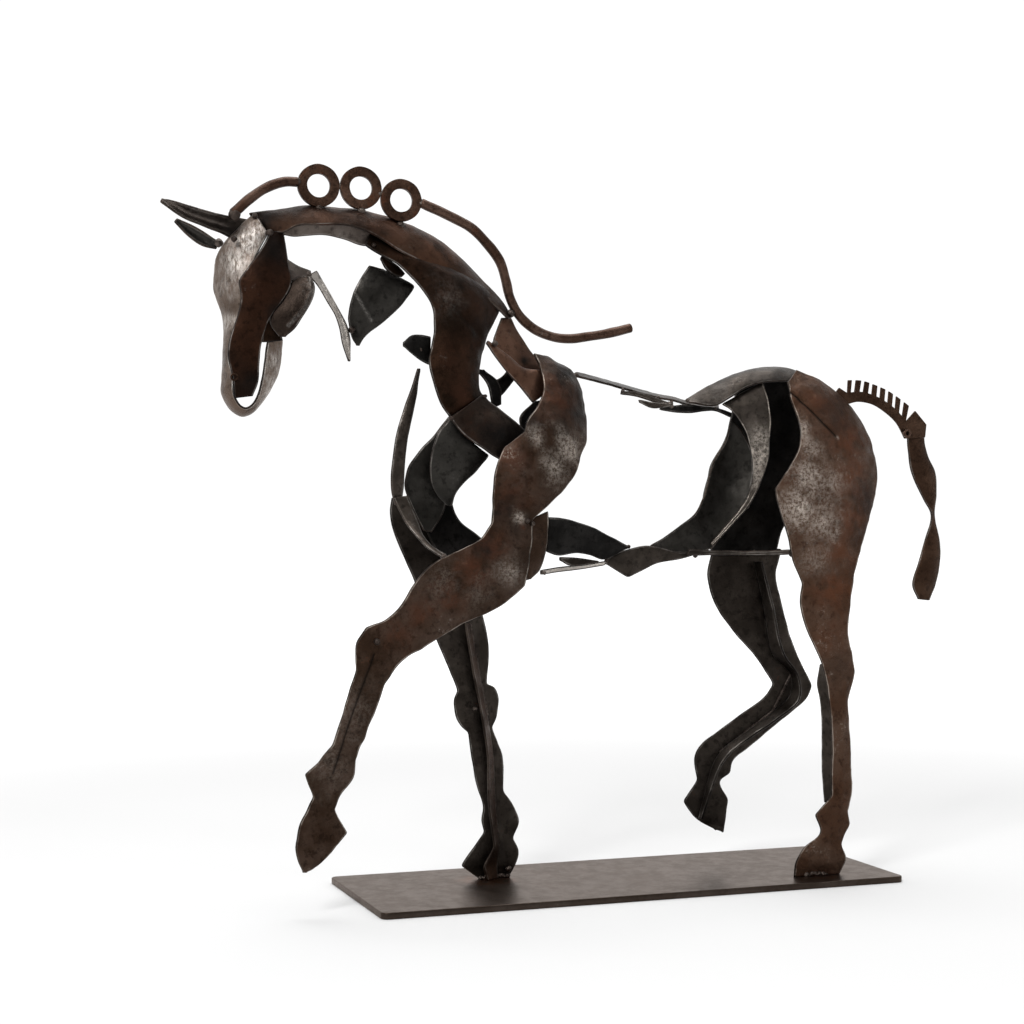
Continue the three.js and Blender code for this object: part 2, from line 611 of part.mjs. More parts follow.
// A smooth curve through an edge's points, taken at a share of the stretch after point i
function onEdge(points, sharp, i, share) {
  const from = points[i];
  const to = points[i + 1];
  const length = from.distanceTo(to);
  const leaving = slope(points, i, 1, sharp[i]).multiplyScalar(length);
  const arriving = slope(points, i + 1, -1, sharp[i + 1]).multiplyScalar(length);
  const s2 = share * share;
  const s3 = s2 * share;
  return from.clone().multiplyScalar(2 * s3 - 3 * s2 + 1)
    .addScaledVector(leaving, s3 - 2 * s2 + share)
    .addScaledVector(to, 3 * s2 - 2 * s3)
    .addScaledVector(arriving, s3 - s2);
}

// The middle surface of a scrap: rows of points along it, from the first edge to the second.
// grow widens and lengthens it, which makes the space that a neighbour keeps clear of.
function middleSurface(stations, grow) {
  const first = stations.map((s) => place(s[0], s[1], s[2]));
  const second = stations.map((s) => place(s[3], s[4], s[5]));
  const firstSharp = stations.map((s) => ((s[7] || 0) & 1) === 1);
  const secondSharp = stations.map((s) => ((s[7] || 0) & 2) === 2);
  const widest = Math.max(...first.map((p, i) => p.distanceTo(second[i])));
  const cells = widest > 30 * SHARE ? 4 : widest > 13 * SHARE ? 3 : widest > 6 * SHARE ? 2 : 1;
  const pairs = [];
  for (let i = 0; i < stations.length - 1; i += 1) {
    const reach = Math.max(first[i].distanceTo(first[i + 1]), second[i].distanceTo(second[i + 1]));
    const steps = reach > 17 * SHARE ? 2 : 1;
    for (let k = 0; k < steps; k += 1) {
      const share = k / steps;
      pairs.push({
        a: onEdge(first, firstSharp, i, share),
        b: onEdge(second, secondSharp, i, share),
        bulge: THREE.MathUtils.lerp(stations[i][6], stations[i + 1][6], share) * SHARE,
      });
    }
  }
  const last = stations.length - 1;
  pairs.push({ a: first[last], b: second[last], bulge: stations[last][6] * SHARE });
  if (grow > 0) {
    for (const pair of pairs) {
      const across = pair.b.clone().sub(pair.a).normalize();
      pair.a.addScaledVector(across, -grow);
      pair.b.addScaledVector(across, grow);
    }
    for (const [end, inner] of [[pairs[0], pairs[1]], [pairs.at(-1), pairs.at(-2)]]) {
      const outward = end.a.clone().add(end.b).sub(inner.a).sub(inner.b).normalize();
      end.a.addScaledVector(outward, grow);
      end.b.addScaledVector(outward, grow);
    }
  }
  return pairs.map((pair, i) => {
    const ahead = pairs[Math.min(i + 1, pairs.length - 1)];
    const behind = pairs[Math.max(i - 1, 0)];
    const along = ahead.a.clone().add(ahead.b).sub(behind.a).sub(behind.b);
    const across = pair.b.clone().sub(pair.a);
    const normal = along.cross(across).normalize();
    const row = [];
    for (let j = 0; j <= cells; j += 1) {
      const share = j / cells;
      const rise = 4 * share * (1 - share) * pair.bulge;
      row.push(pair.a.clone().lerp(pair.b, share).addScaledVector(normal, rise));
    }
    return row;
  });
}

// A sheet of even thickness around a middle surface, closed all round by its cut edges
function sheetAround(rows, thickness) {
  const columns = rows[0].length;
  const positions = [];
  const indices = [];
  const normals = rows.map((row, i) => row.map((_, j) => {
    const along = rows[Math.min(i + 1, rows.length - 1)][j].clone().sub(rows[Math.max(i - 1, 0)][j]);
    const across = row[Math.min(j + 1, columns - 1)].clone().sub(row[Math.max(j - 1, 0)]);
    return along.cross(across).normalize();
  }));
  for (const side of [0.5, -0.5]) {
    rows.forEach((row, i) => row.forEach((point, j) => {
      const moved = point.clone().addScaledVector(normals[i][j], side * thickness);
      positions.push(moved.x, moved.y, moved.z);
    }));
  }
  const top = (i, j) => i * columns + j;
  const under = (i, j) => rows.length * columns + i * columns + j;
  const quad = (a, b, c, d) => indices.push(a, b, c, a, c, d);
  const lastRow = rows.length - 1;
  const lastColumn = columns - 1;
  for (let i = 0; i < lastRow; i += 1) {
    for (let j = 0; j < lastColumn; j += 1) {
      quad(top(i, j), top(i + 1, j), top(i + 1, j + 1), top(i, j + 1));
      quad(under(i, j), under(i, j + 1), under(i + 1, j + 1), under(i + 1, j));
    }
    quad(top(i, 0), under(i, 0), under(i + 1, 0), top(i + 1, 0));
    quad(top(i, lastColumn), top(i + 1, lastColumn), under(i + 1, lastColumn), under(i, lastColumn));
  }
  for (let j = 0; j < lastColumn; j += 1) {
    quad(top(0, j), top(0, j + 1), under(0, j + 1), under(0, j));
    quad(top(lastRow, j), under(lastRow, j), under(lastRow, j + 1), top(lastRow, j + 1));
  }
  const geometry = new THREE.BufferGeometry();
  geometry.setAttribute('position', new THREE.Float32BufferAttribute(positions, 3));
  geometry.setIndex(indices);
  return geometry;
}

const scrap = (stations) => (gap) => sheetAround(middleSurface(stations, gap), SHEET + 2 * gap);

// The flat plate that the horse stands on, with round corners
function basePlate(gap) {
  const outline = new THREE.Shape();
  const halfX = PLATE_LENGTH / 2 + gap - PLATE_CORNER;
  const halfY = PLATE_WIDTH / 2 + gap - PLATE_CORNER;
  outline.absarc(halfX, halfY, PLATE_CORNER, 0, Math.PI / 2);
  outline.absarc(-halfX, halfY, PLATE_CORNER, Math.PI / 2, Math.PI);
  outline.absarc(-halfX, -halfY, PLATE_CORNER, Math.PI, 1.5 * Math.PI);
  outline.absarc(halfX, -halfY, PLATE_CORNER, 1.5 * Math.PI, 2 * Math.PI);
  outline.closePath();
  const depth = PLATE_THICKNESS + gap;
  return new THREE.ExtrudeGeometry(outline, { depth, bevelEnabled: false, curveSegments: 5 });
}

// A flat ring that faces the near side. Each full turn of its outline has twice as many sides.
function flatRing(outer, bore, thickness, x, y, z, sides) {
  const shape = new THREE.Shape();
  shape.absarc(0, 0, outer / 2, 0, 2 * Math.PI);
  const hole = new THREE.Path();
  hole.absarc(0, 0, bore / 2, 0, 2 * Math.PI, true);
  shape.holes.push(hole);
  const options = { depth: thickness, bevelEnabled: false, curveSegments: sides };
  const geometry = new THREE.ExtrudeGeometry(shape, options);
  geometry.translate(0, 0, -thickness / 2);
  geometry.rotateX(Math.PI / 2);
  geometry.translate(x, y, z);
  return geometry;
}

// Ring centres: the first stands on the crest, and the others follow it at a ring's width
const ringCentres = [place(FIRST_RING[0], MANE_PLANE, FIRST_RING[1])];
ringCentres[0].z += RING_OUTER / 2;
for (const degrees of RING_SLOPES) {
  const angle = THREE.MathUtils.degToRad(degrees);
  const pitch = RING_OUTER + WELD_GAP;
  const step = new THREE.Vector3(Math.cos(angle), 0, Math.sin(angle)).multiplyScalar(pitch);
  ringCentres.push(ringCentres.at(-1).clone().add(step));
}

const maneRing = (centre) => (gap) => flatRing(
  RING_OUTER + 2 * gap, RING_BORE - 2 * gap, RING_THICKNESS + 2 * gap,
  centre.x, centre.y, centre.z, RING_SIDES,
);

// A round bar bent along a smooth line through its points
function bentRod(points, gap) {
  const section = new THREE.Shape();
  section.absarc(0, 0, ROD_DIAMETER / 2 + gap, 0, 2 * Math.PI);
  const path = new THREE.CatmullRomCurve3(points, false, 'centripetal');
  const steps = Math.max(6, Math.round((path.getLength() / (ROD_DIAMETER * SHARE)) * 0.7));
  const options = { steps: Math.min(steps, ROD_STEPS), extrudePath: path, curveSegments: ROD_SIDES };
  return new THREE.ExtrudeGeometry(section, options);
}

// Each rod ends just short of the ring that it is welded to
const reach = RING_OUTER / 2 + WELD_GAP;
const frontRodPoints = FRONT_ROD.map((p) => place(...p));
frontRodPoints.push(ringCentres[0].clone().add(new THREE.Vector3(-reach, 0, 1.5)));
const rearRodPoints = REAR_ROD.map((p) => place(...p));
rearRodPoints.unshift(ringCentres[2].clone().add(new THREE.Vector3(reach, 0, -1)));

// The comb: a curved band with teeth along its outer edge, between the hook and the block
function tailComb(gap) {
  const curve = (points) => new THREE.SplineCurve(points.map(([x, z]) => new THREE.Vector2(x, z)));
  const root = curve(COMB_ROOT);
  const tips = curve(COMB_TIPS);
  const notch = (share) => root.getPoint(share).lerp(tips.getPoint(share), COMB_GAP_DEPTH);
  const outline = [];
  for (let i = 0; i <= 12; i += 1) outline.push(root.getPoint(i / 12));
  for (const [x, z] of COMB_BLOCK) outline.push(new THREE.Vector2(x, z));
  for (let tooth = COMB_TEETH - 1; tooth >= 0; tooth -= 1) {
    const from = tooth / COMB_TEETH;
    const to = (tooth + COMB_TOOTH_SHARE) / COMB_TEETH;
    outline.push(notch(to), tips.getPoint(to), tips.getPoint(from), notch(from));
  }
  for (const [x, z] of COMB_HOOK) outline.push(new THREE.Vector2(x, z));
  const lowest = FEET / SHARE;
  const shape = new THREE.Shape(outline.map((p) => new THREE.Vector2(p.x, p.y + lowest)));
  const depth = SHEET + 2 * gap;
  const geometry = new THREE.ExtrudeGeometry(shape, { depth: depth / SHARE, bevelEnabled: false });
  geometry.translate(0, 0, -depth / SHARE / 2);
  geometry.rotateX(Math.PI / 2);
  geometry.scale(SHARE, SHARE, SHARE);
  geometry.translate(0, TAIL_PLANE * SHARE, 0);
  return geometry;
}

function tailNut(gap) {
  const middle = place(TAIL_NUT[0], TAIL_PLANE, TAIL_NUT[1]);
  const y = middle.y - SHEET / 2 - WELD_GAP - NUT_HEIGHT / 2;
  const outer = NUT_OUTER + 2 * gap;
  const bore = NUT_BORE - 2 * gap;
  return flatRing(outer, bore, NUT_HEIGHT + 2 * gap, middle.x, y, middle.z, NUT_SIDES);
}

// Every piece, in the order in which the later ones are trimmed to clear the earlier ones
const pieces = [
  ['base_plate', basePlate],
  ['near_foreleg', scrap(LEG_SCRAPS.near_foreleg)],
  ['near_hind_leg', scrap(LEG_SCRAPS.near_hind_leg)],
  ['far_foreleg', scrap(LEG_SCRAPS.far_foreleg)],
  ['far_hind_leg', scrap(LEG_SCRAPS.far_hind_leg)],
  ['mane_ring_1', maneRing(ringCentres[0])],
  ['mane_ring_2', maneRing(ringCentres[1])],
  ['mane_ring_3', maneRing(ringCentres[2])],
  ['mane_rod_front', (gap) => bentRod(frontRodPoints, gap)],
  ['mane_rod_rear', (gap) => bentRod(rearRodPoints, gap)],
  ['tail_comb', tailComb],
  ['tail_nut', tailNut],
];
for (const set of [NECK_SCRAPS, HEAD_SCRAPS, LEG_SCRAPS, LEG_FINS, BODY_SCRAPS]) {
  for (const [name, stations] of Object.entries(set)) {
    if (!pieces.some(([known]) => known === name)) pieces.push([name, scrap(stations)]);
  }
}

// Finishes: bare dark sheet, rust brown sheet, bright worn sheet and the far side's black sheet
const FINISHES = {
  bright: { color: 0x9a958c, roughness: 0.42, metalness: 0.85 },
  brown: { color: 0x54412f, roughness: 0.55, metalness: 0.7 },
  grey: { color: 0x5e5a52, roughness: 0.48, metalness: 0.8 },
  dark: { color: 0x2b2724, roughness: 0.6, metalness: 0.7 },
};
const BRIGHT = ['nose_plate', 'throat_strip', 'crest_lining', 'belly_strip', 'mane_ring_1', 'chest_leaf'];
const BROWN = ['crest_band', 'cheek_plate', 'cheek_disc', 'wither_plate', 'wither_flap', 'near_ear',
  'near_foreleg', 'base_plate', 'tail_leaf'];
const DARK = ['neck_sheet', 'neck_base_band', 'chest_band', 'chest_inner_band', 'inner_band', 'inner_arm',
  'inner_strap', 'flank_ribbon', 'far_haunch', 'far_hind_leg', 'far_hind_fin', 'far_foreleg',
  'far_foreleg_fin', 'far_shoulder', 'belly_panel', 'back_under_strip'];

function finishOf(name) {
  if (BRIGHT.includes(name)) return FINISHES.bright;
  if (BROWN.includes(name)) return FINISHES.brown;
  if (DARK.includes(name)) return FINISHES.dark;
  return FINISHES.grey;
}

const horse = new THREE.Group();
const placed = [];
for (const [name, make] of pieces) {
  let solid = toSolid(make(0));
  const box = new THREE.Box3().setFromBufferAttribute(make(WELD_GAP).getAttribute('position'));
  let cut = false;
  for (const earlier of placed) {
    if (box.intersectsBox(earlier.box)) {
      const left = solid.subtract(earlier.grown);
      cut = cut || Math.abs(left.volume() - solid.volume()) > 1e-3;
      solid = left;
    }
  }
  const geometry = cut ? largestBody(toGeometry(solid)) : toGeometry(toSolid(make(0)));
  placed.push({ box, grown: toSolid(make(WELD_GAP)) });
  const mesh = new THREE.Mesh(geometry, new THREE.MeshStandardMaterial(finishOf(name)));
  mesh.name = name;
  horse.add(mesh);
}

export default horse;
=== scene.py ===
import math

import bmesh
import bpy
import numpy as np
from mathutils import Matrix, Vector


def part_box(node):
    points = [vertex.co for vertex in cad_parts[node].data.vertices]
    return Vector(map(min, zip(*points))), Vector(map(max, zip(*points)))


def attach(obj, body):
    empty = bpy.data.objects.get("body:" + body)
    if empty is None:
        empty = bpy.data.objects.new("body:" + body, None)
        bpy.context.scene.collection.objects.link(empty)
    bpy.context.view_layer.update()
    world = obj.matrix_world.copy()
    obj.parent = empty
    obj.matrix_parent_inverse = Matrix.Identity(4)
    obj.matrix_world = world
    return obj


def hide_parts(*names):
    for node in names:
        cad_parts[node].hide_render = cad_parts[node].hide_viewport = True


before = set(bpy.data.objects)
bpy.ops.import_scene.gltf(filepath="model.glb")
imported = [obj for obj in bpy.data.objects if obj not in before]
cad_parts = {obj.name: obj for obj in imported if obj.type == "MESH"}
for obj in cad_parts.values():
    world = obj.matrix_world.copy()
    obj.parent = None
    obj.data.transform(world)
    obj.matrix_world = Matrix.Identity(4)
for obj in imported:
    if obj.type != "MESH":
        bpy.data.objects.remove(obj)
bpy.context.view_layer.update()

# Sizes in millimetres, as in the solids, and MM turns them into metres
MM = 0.001
SHEET = 1.5
WELD_GAP = 0.3
ROD_DIAMETER = 6.0
PLATE_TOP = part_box("base_plate")[1][2] / MM
FEET = PLATE_TOP + WELD_GAP
CELL = 1.25
EDGE_ROUND = 0.45
CORNER_SOFTENING = 3
RIM_STEPS = 4
EDGE_WAVE = 7.0          # how long the wavers of a cut edge are
WEAR_REACH = 1.1         # how far from a scrap's sides its patina is rubbed
MANE_PLANE = -4.0
TAIL_PLANE = -14.0
ROOT = "root"

# Each scrap is a list of stations along its length, the same as in the solids. A station holds the
# x, y, z of its left or lower edge, the x, y, z of its right or upper edge, and how far its middle
# bulges. An eighth value marks a sharp corner: 1 on the first edge, 2 on the second, 3 on both.
HEAD_SCRAPS = {
    "nose_plate": [
        [-235, -3, 402, -231, -6, 402, 0], [-249.5, 0, 387.5, -225.5, -10, 392, 3, 3],
        [-253.5, 5, 378.5, -231.5, -11, 381, 3], [-254, 9, 369, -237, -12, 368.5, 2.5],
        [-254, 9, 359.5, -238.5, -12, 359.5, 2], [-251.5, 8, 352, -238.5, -12, 350.5, 2],
        [-249, 7, 342.5, -241.5, -11, 341, 2], [-248.5, 6, 330, -247.5, -9, 327.5, 1.5],
        [-249.5, 5, 318, -248.5, -9, 317.5, 1], [-250.5, 4, 307, -246, -10, 308.5, 1],
        [-251, 3, 299.5, -246, -10, 298, 1], [-248, 2, 292, -244, -10, 293.5, 1],
        [-243.5, 1, 287, -241.5, -10, 290.5, 1], [-238.5, 0, 285, -238.5, -10, 289.5, 1],
        [-233, 0, 287, -234.5, -10, 292, 1], [-227, 0, 293.5, -231.5, -10, 298, 1],
        [-221.5, 0, 302.5, -230, -10, 304.5, 1], [-217, -1, 313, -228.5, -10, 313.5, 1],
        [-215.5, -2, 330.5, -226.5, -10, 328, 0],
    ],
    "cheek_plate": [
        [-225.5, -12, 393, -216, -9, 392.5, 0], [-229.5, -14, 384.5, -215, -12, 379.5, 1.5],
        [-244.5, -14.5, 363, -213, -15, 362, 2.5, 1], [-243, -15, 351.5, -216.5, -16, 355, 2],
        [-245.5, -14, 340.5, -225, -15, 343, 2], [-249.5, -13, 328, -230, -14, 329.5, 1.5],
        [-250, -13, 318.5, -231.5, -14, 316.5, 1], [-247.5, -13, 307, -232.5, -13.5, 304, 1],
        [-246.5, -13, 295.5, -235, -12.5, 297, 0],
    ],
    "cheek_disc": [
        [-209, -12, 366.5, -201.5, -17, 366.5, 0], [-215, -13, 361, -199.5, -18, 361, 1],
        [-220, -13, 352.5, -201.5, -19, 352.5, 2], [-226, -13, 344.5, -206.5, -19, 344, 2],
        [-225, -13, 338, -211.5, -18, 336, 1], [-220.5, -14, 332, -216.5, -17, 331.5, 0],
    ],
    "jaw_bar": [
        [-216.5, -11, 362.5, -217, -11, 379, 0], [-211, -11, 364.5, -211.5, -10, 376, 0],
        [-206, -10.5, 366.5, -206.5, -9.5, 373.5, 0], [-200, -10, 368, -200.5, -9, 371.5, 0],
    ],
    "throat_triangle": [
        [-226, -11, 342.5, -221, -11, 340.5, 0], [-229.5, -11, 335.5, -219, -11, 335.5, 0],
        [-230, -11, 328.5, -217, -11, 330, 0],
    ],
    "throat_strip": [
        [-201, -9, 368, -195.5, -7, 371.5, 0], [-196, -9, 363, -190.5, -7, 363, 1],
        [-190, -9, 353.5, -185, -7, 354, 1], [-185, -9, 345.5, -180.5, -7, 346, 1],
        [-182.5, -9, 338, -176.5, -7, 338, 1], [-181, -9, 330, -175, -7, 330.5, 1],
        [-179, -9, 323.5, -175.5, -8, 324, 0.5], [-177, -9, 319, -176, -8.5, 319, 0],
    ],
    "throat_plate": [
        [-163.5, -5, 376, -154, -5, 374, 0], [-168.5, -5, 368.5, -143, -6, 369, 2],
        [-172, -5, 362, -134.5, -7, 365, 3, 2], [-174.5, -4, 353.5, -142, -6, 354.5, 3],
        [-176, -3, 344, -152.5, -5, 344.5, 2, 1], [-173, -3, 332.5, -166, -4, 333.5, 1],
        [-170.5, -3, 329, -168.5, -3, 329, 0],
    ],
    "near_ear": [
        [-289, -14, 406, -287.5, -13, 409, 0], [-276.5, -12, 398.5, -270.5, -10, 405.5, -2.5],
        [-265, -9, 395, -257.5, -7, 403, -3], [-254, -5, 392, -247, -3, 402, -3],
        [-243.5, 1, 389, -239, 2, 402, -1], [-235, 3, 387.5, -230.5, 3, 401, 0],
    ],
    "far_ear": [
        [-276.5, 13, 399, -274.5, 13, 401.5, 0], [-267, 12, 390, -265.5, 11, 397.5, -2],
        [-260, 11, 385.5, -258, 10, 393, -2], [-253, 10, 384, -251, 10, 389, 0],
    ],
}

NECK_SCRAPS = {
    "neck_sheet": [
        [-167, -12, 387, -163, -9, 395, 0], [-159, -14, 382, -143.5, -8, 391, 1],
        [-149.5, -16, 377, -125.5, -7, 383.5, 3], [-140.5, -17, 369, -108, -6, 375.5, 5],
        [-132.5, -18, 360, -90.5, -6, 365.5, 6], [-127.5, -19, 350.5, -80.5, -6, 352.5, 7, 2],
        [-127, -20, 341.5, -87, -9, 342.5, 7], [-128.5, -21, 330.5, -92, -11, 332, 6],
        [-131, -22, 318.5, -95.5, -13, 320, 6], [-128.5, -23, 305.5, -97, -15, 309, 5],
        [-124, -24, 293, -96.5, -17, 301, 4], [-118, -23, 285, -92, -16, 297.5, 3],
        [-110.5, -21, 277, -87, -14, 292.5, 2],
    ],
    "neck_base_band": [
        [-119, -26.5, 284.5, -97, -20.5, 299, 3], [-110.5, -27, 274.5, -90, -21, 294, 3],
        [-101.5, -27, 268.5, -82.5, -21, 288.5, 3], [-95, -27.5, 264, -75.5, -21.5, 283, 3],
        [-88, -28, 260, -68.5, -22, 277, 2], [-79, -28, 255.5, -62, -22, 270.5, 1],
    ],
    "crest_band": [
        [-227.5, -3, 391, -234.5, 1, 405.5, 0], [-223, -8, 392.5, -228, -1, 406.5, 1],
        [-217, -13, 392.5, -220.5, -2, 407.5, 1.5], [-209.5, -15, 396.5, -202.5, -1, 410.5, 2],
        [-194.5, -15, 398, -186, 0, 410.5, 2], [-177.5, -15, 398, -167.5, 0, 410, 2],
        [-162, -15, 393, -152, 0, 407.5, 2], [-148.5, -15, 385, -138, 0, 403.5, 2.5],
        [-131, -15, 377.5, -119, 0, 395.5, 3], [-115, -14, 369.5, -104, 0, 385, 2.5],
        [-104.5, -13, 367, -92.5, 0, 374.5, 1], [-93.5, -12, 360.5, -84.5, -1, 366, 0],
        [-82, -10, 351.5, -75.5, -2, 355.5, 0], [-76.5, -8, 347.5, -72.5, -4, 349, 0],
    ],
    "crest_lining": [
        [-216.5, -8, 391.5, -216.5, -9, 395.5, 0], [-205.5, -6, 391.5, -206.5, -9, 400, 0],
        [-192.5, -6, 393, -193, -9, 402, 0], [-178, -6, 391, -179, -9, 402, 0],
        [-166.5, -6, 387.5, -167.5, -9, 399, 0], [-159, -6, 389.5, -159.5, -9, 396, 0],
    ],
    "crest_scrap": [
        [-157.5, -10, 379.5, -156, -10, 382, 0], [-154.5, -10, 374, -150.5, -10, 379, 0],
        [-148.5, -10, 370, -145.5, -9, 376, 0], [-144.5, -9, 370, -142, -9, 372.5, 0],
    ],
    "neck_leaf": [
        [-143, -10, 328, -143, -10, 331, 0], [-138.5, -11, 324, -138.5, -11, 335, 1],
        [-133.5, -12, 320, -133.5, -12, 335.5, 1], [-128, -13, 317, -127.5, -13, 334.5, 0],
    ],
    "wither_plate": [
        [-79, -4, 347.5, -71, 0, 348.5, 0], [-82.5, -6, 340.5, -68, -2, 341.5, 1],
        [-86, -9, 333, -63, -3, 333.5, 1.5], [-84, -11, 326, -57.5, -4, 325.5, 1.5],
        [-77.5, -12, 317, -51, -6, 318, 1], [-69, -14, 306, -46.5, -8, 310.5, 0],
    ],
    "wither_flap": [
        [-93, -17, 330.5, -91, -15, 332.5, 0], [-89.5, -18, 325, -84, -15, 328, 1],
        [-85, -19, 319, -77, -16, 323, 1.5], [-79, -20, 311.5, -69.5, -17, 317, 1.5],
        [-73, -22, 304.5, -54, -18, 314, 1], [-66, -24, 295.5, -53.5, -19, 303, 0],
    ],
    "inner_band": [
        [-96, -3, 316.5, -89.5, -3, 315.5, 0], [-88, -3, 307.5, -79.5, -3, 308, 0],
        [-84.5, -3, 293, -78.5, -3, 295.5, 0],
    ],
    "inner_arm": [
        [-73, 0, 317, -67, 0, 312.5, 0], [-79, 0, 311, -72.5, 0, 305.5, 0],
        [-86, 0, 309, -77.5, 0, 300.5, 0],
    ],
    "inner_strap": [
        [-60.5, -12, 296.5, -55, -10, 297, 0], [-70.5, -13, 286.5, -59.5, -10, 285, 0],
        [-69.5, -14, 278.5, -62, -11, 277, 0],
    ],
}

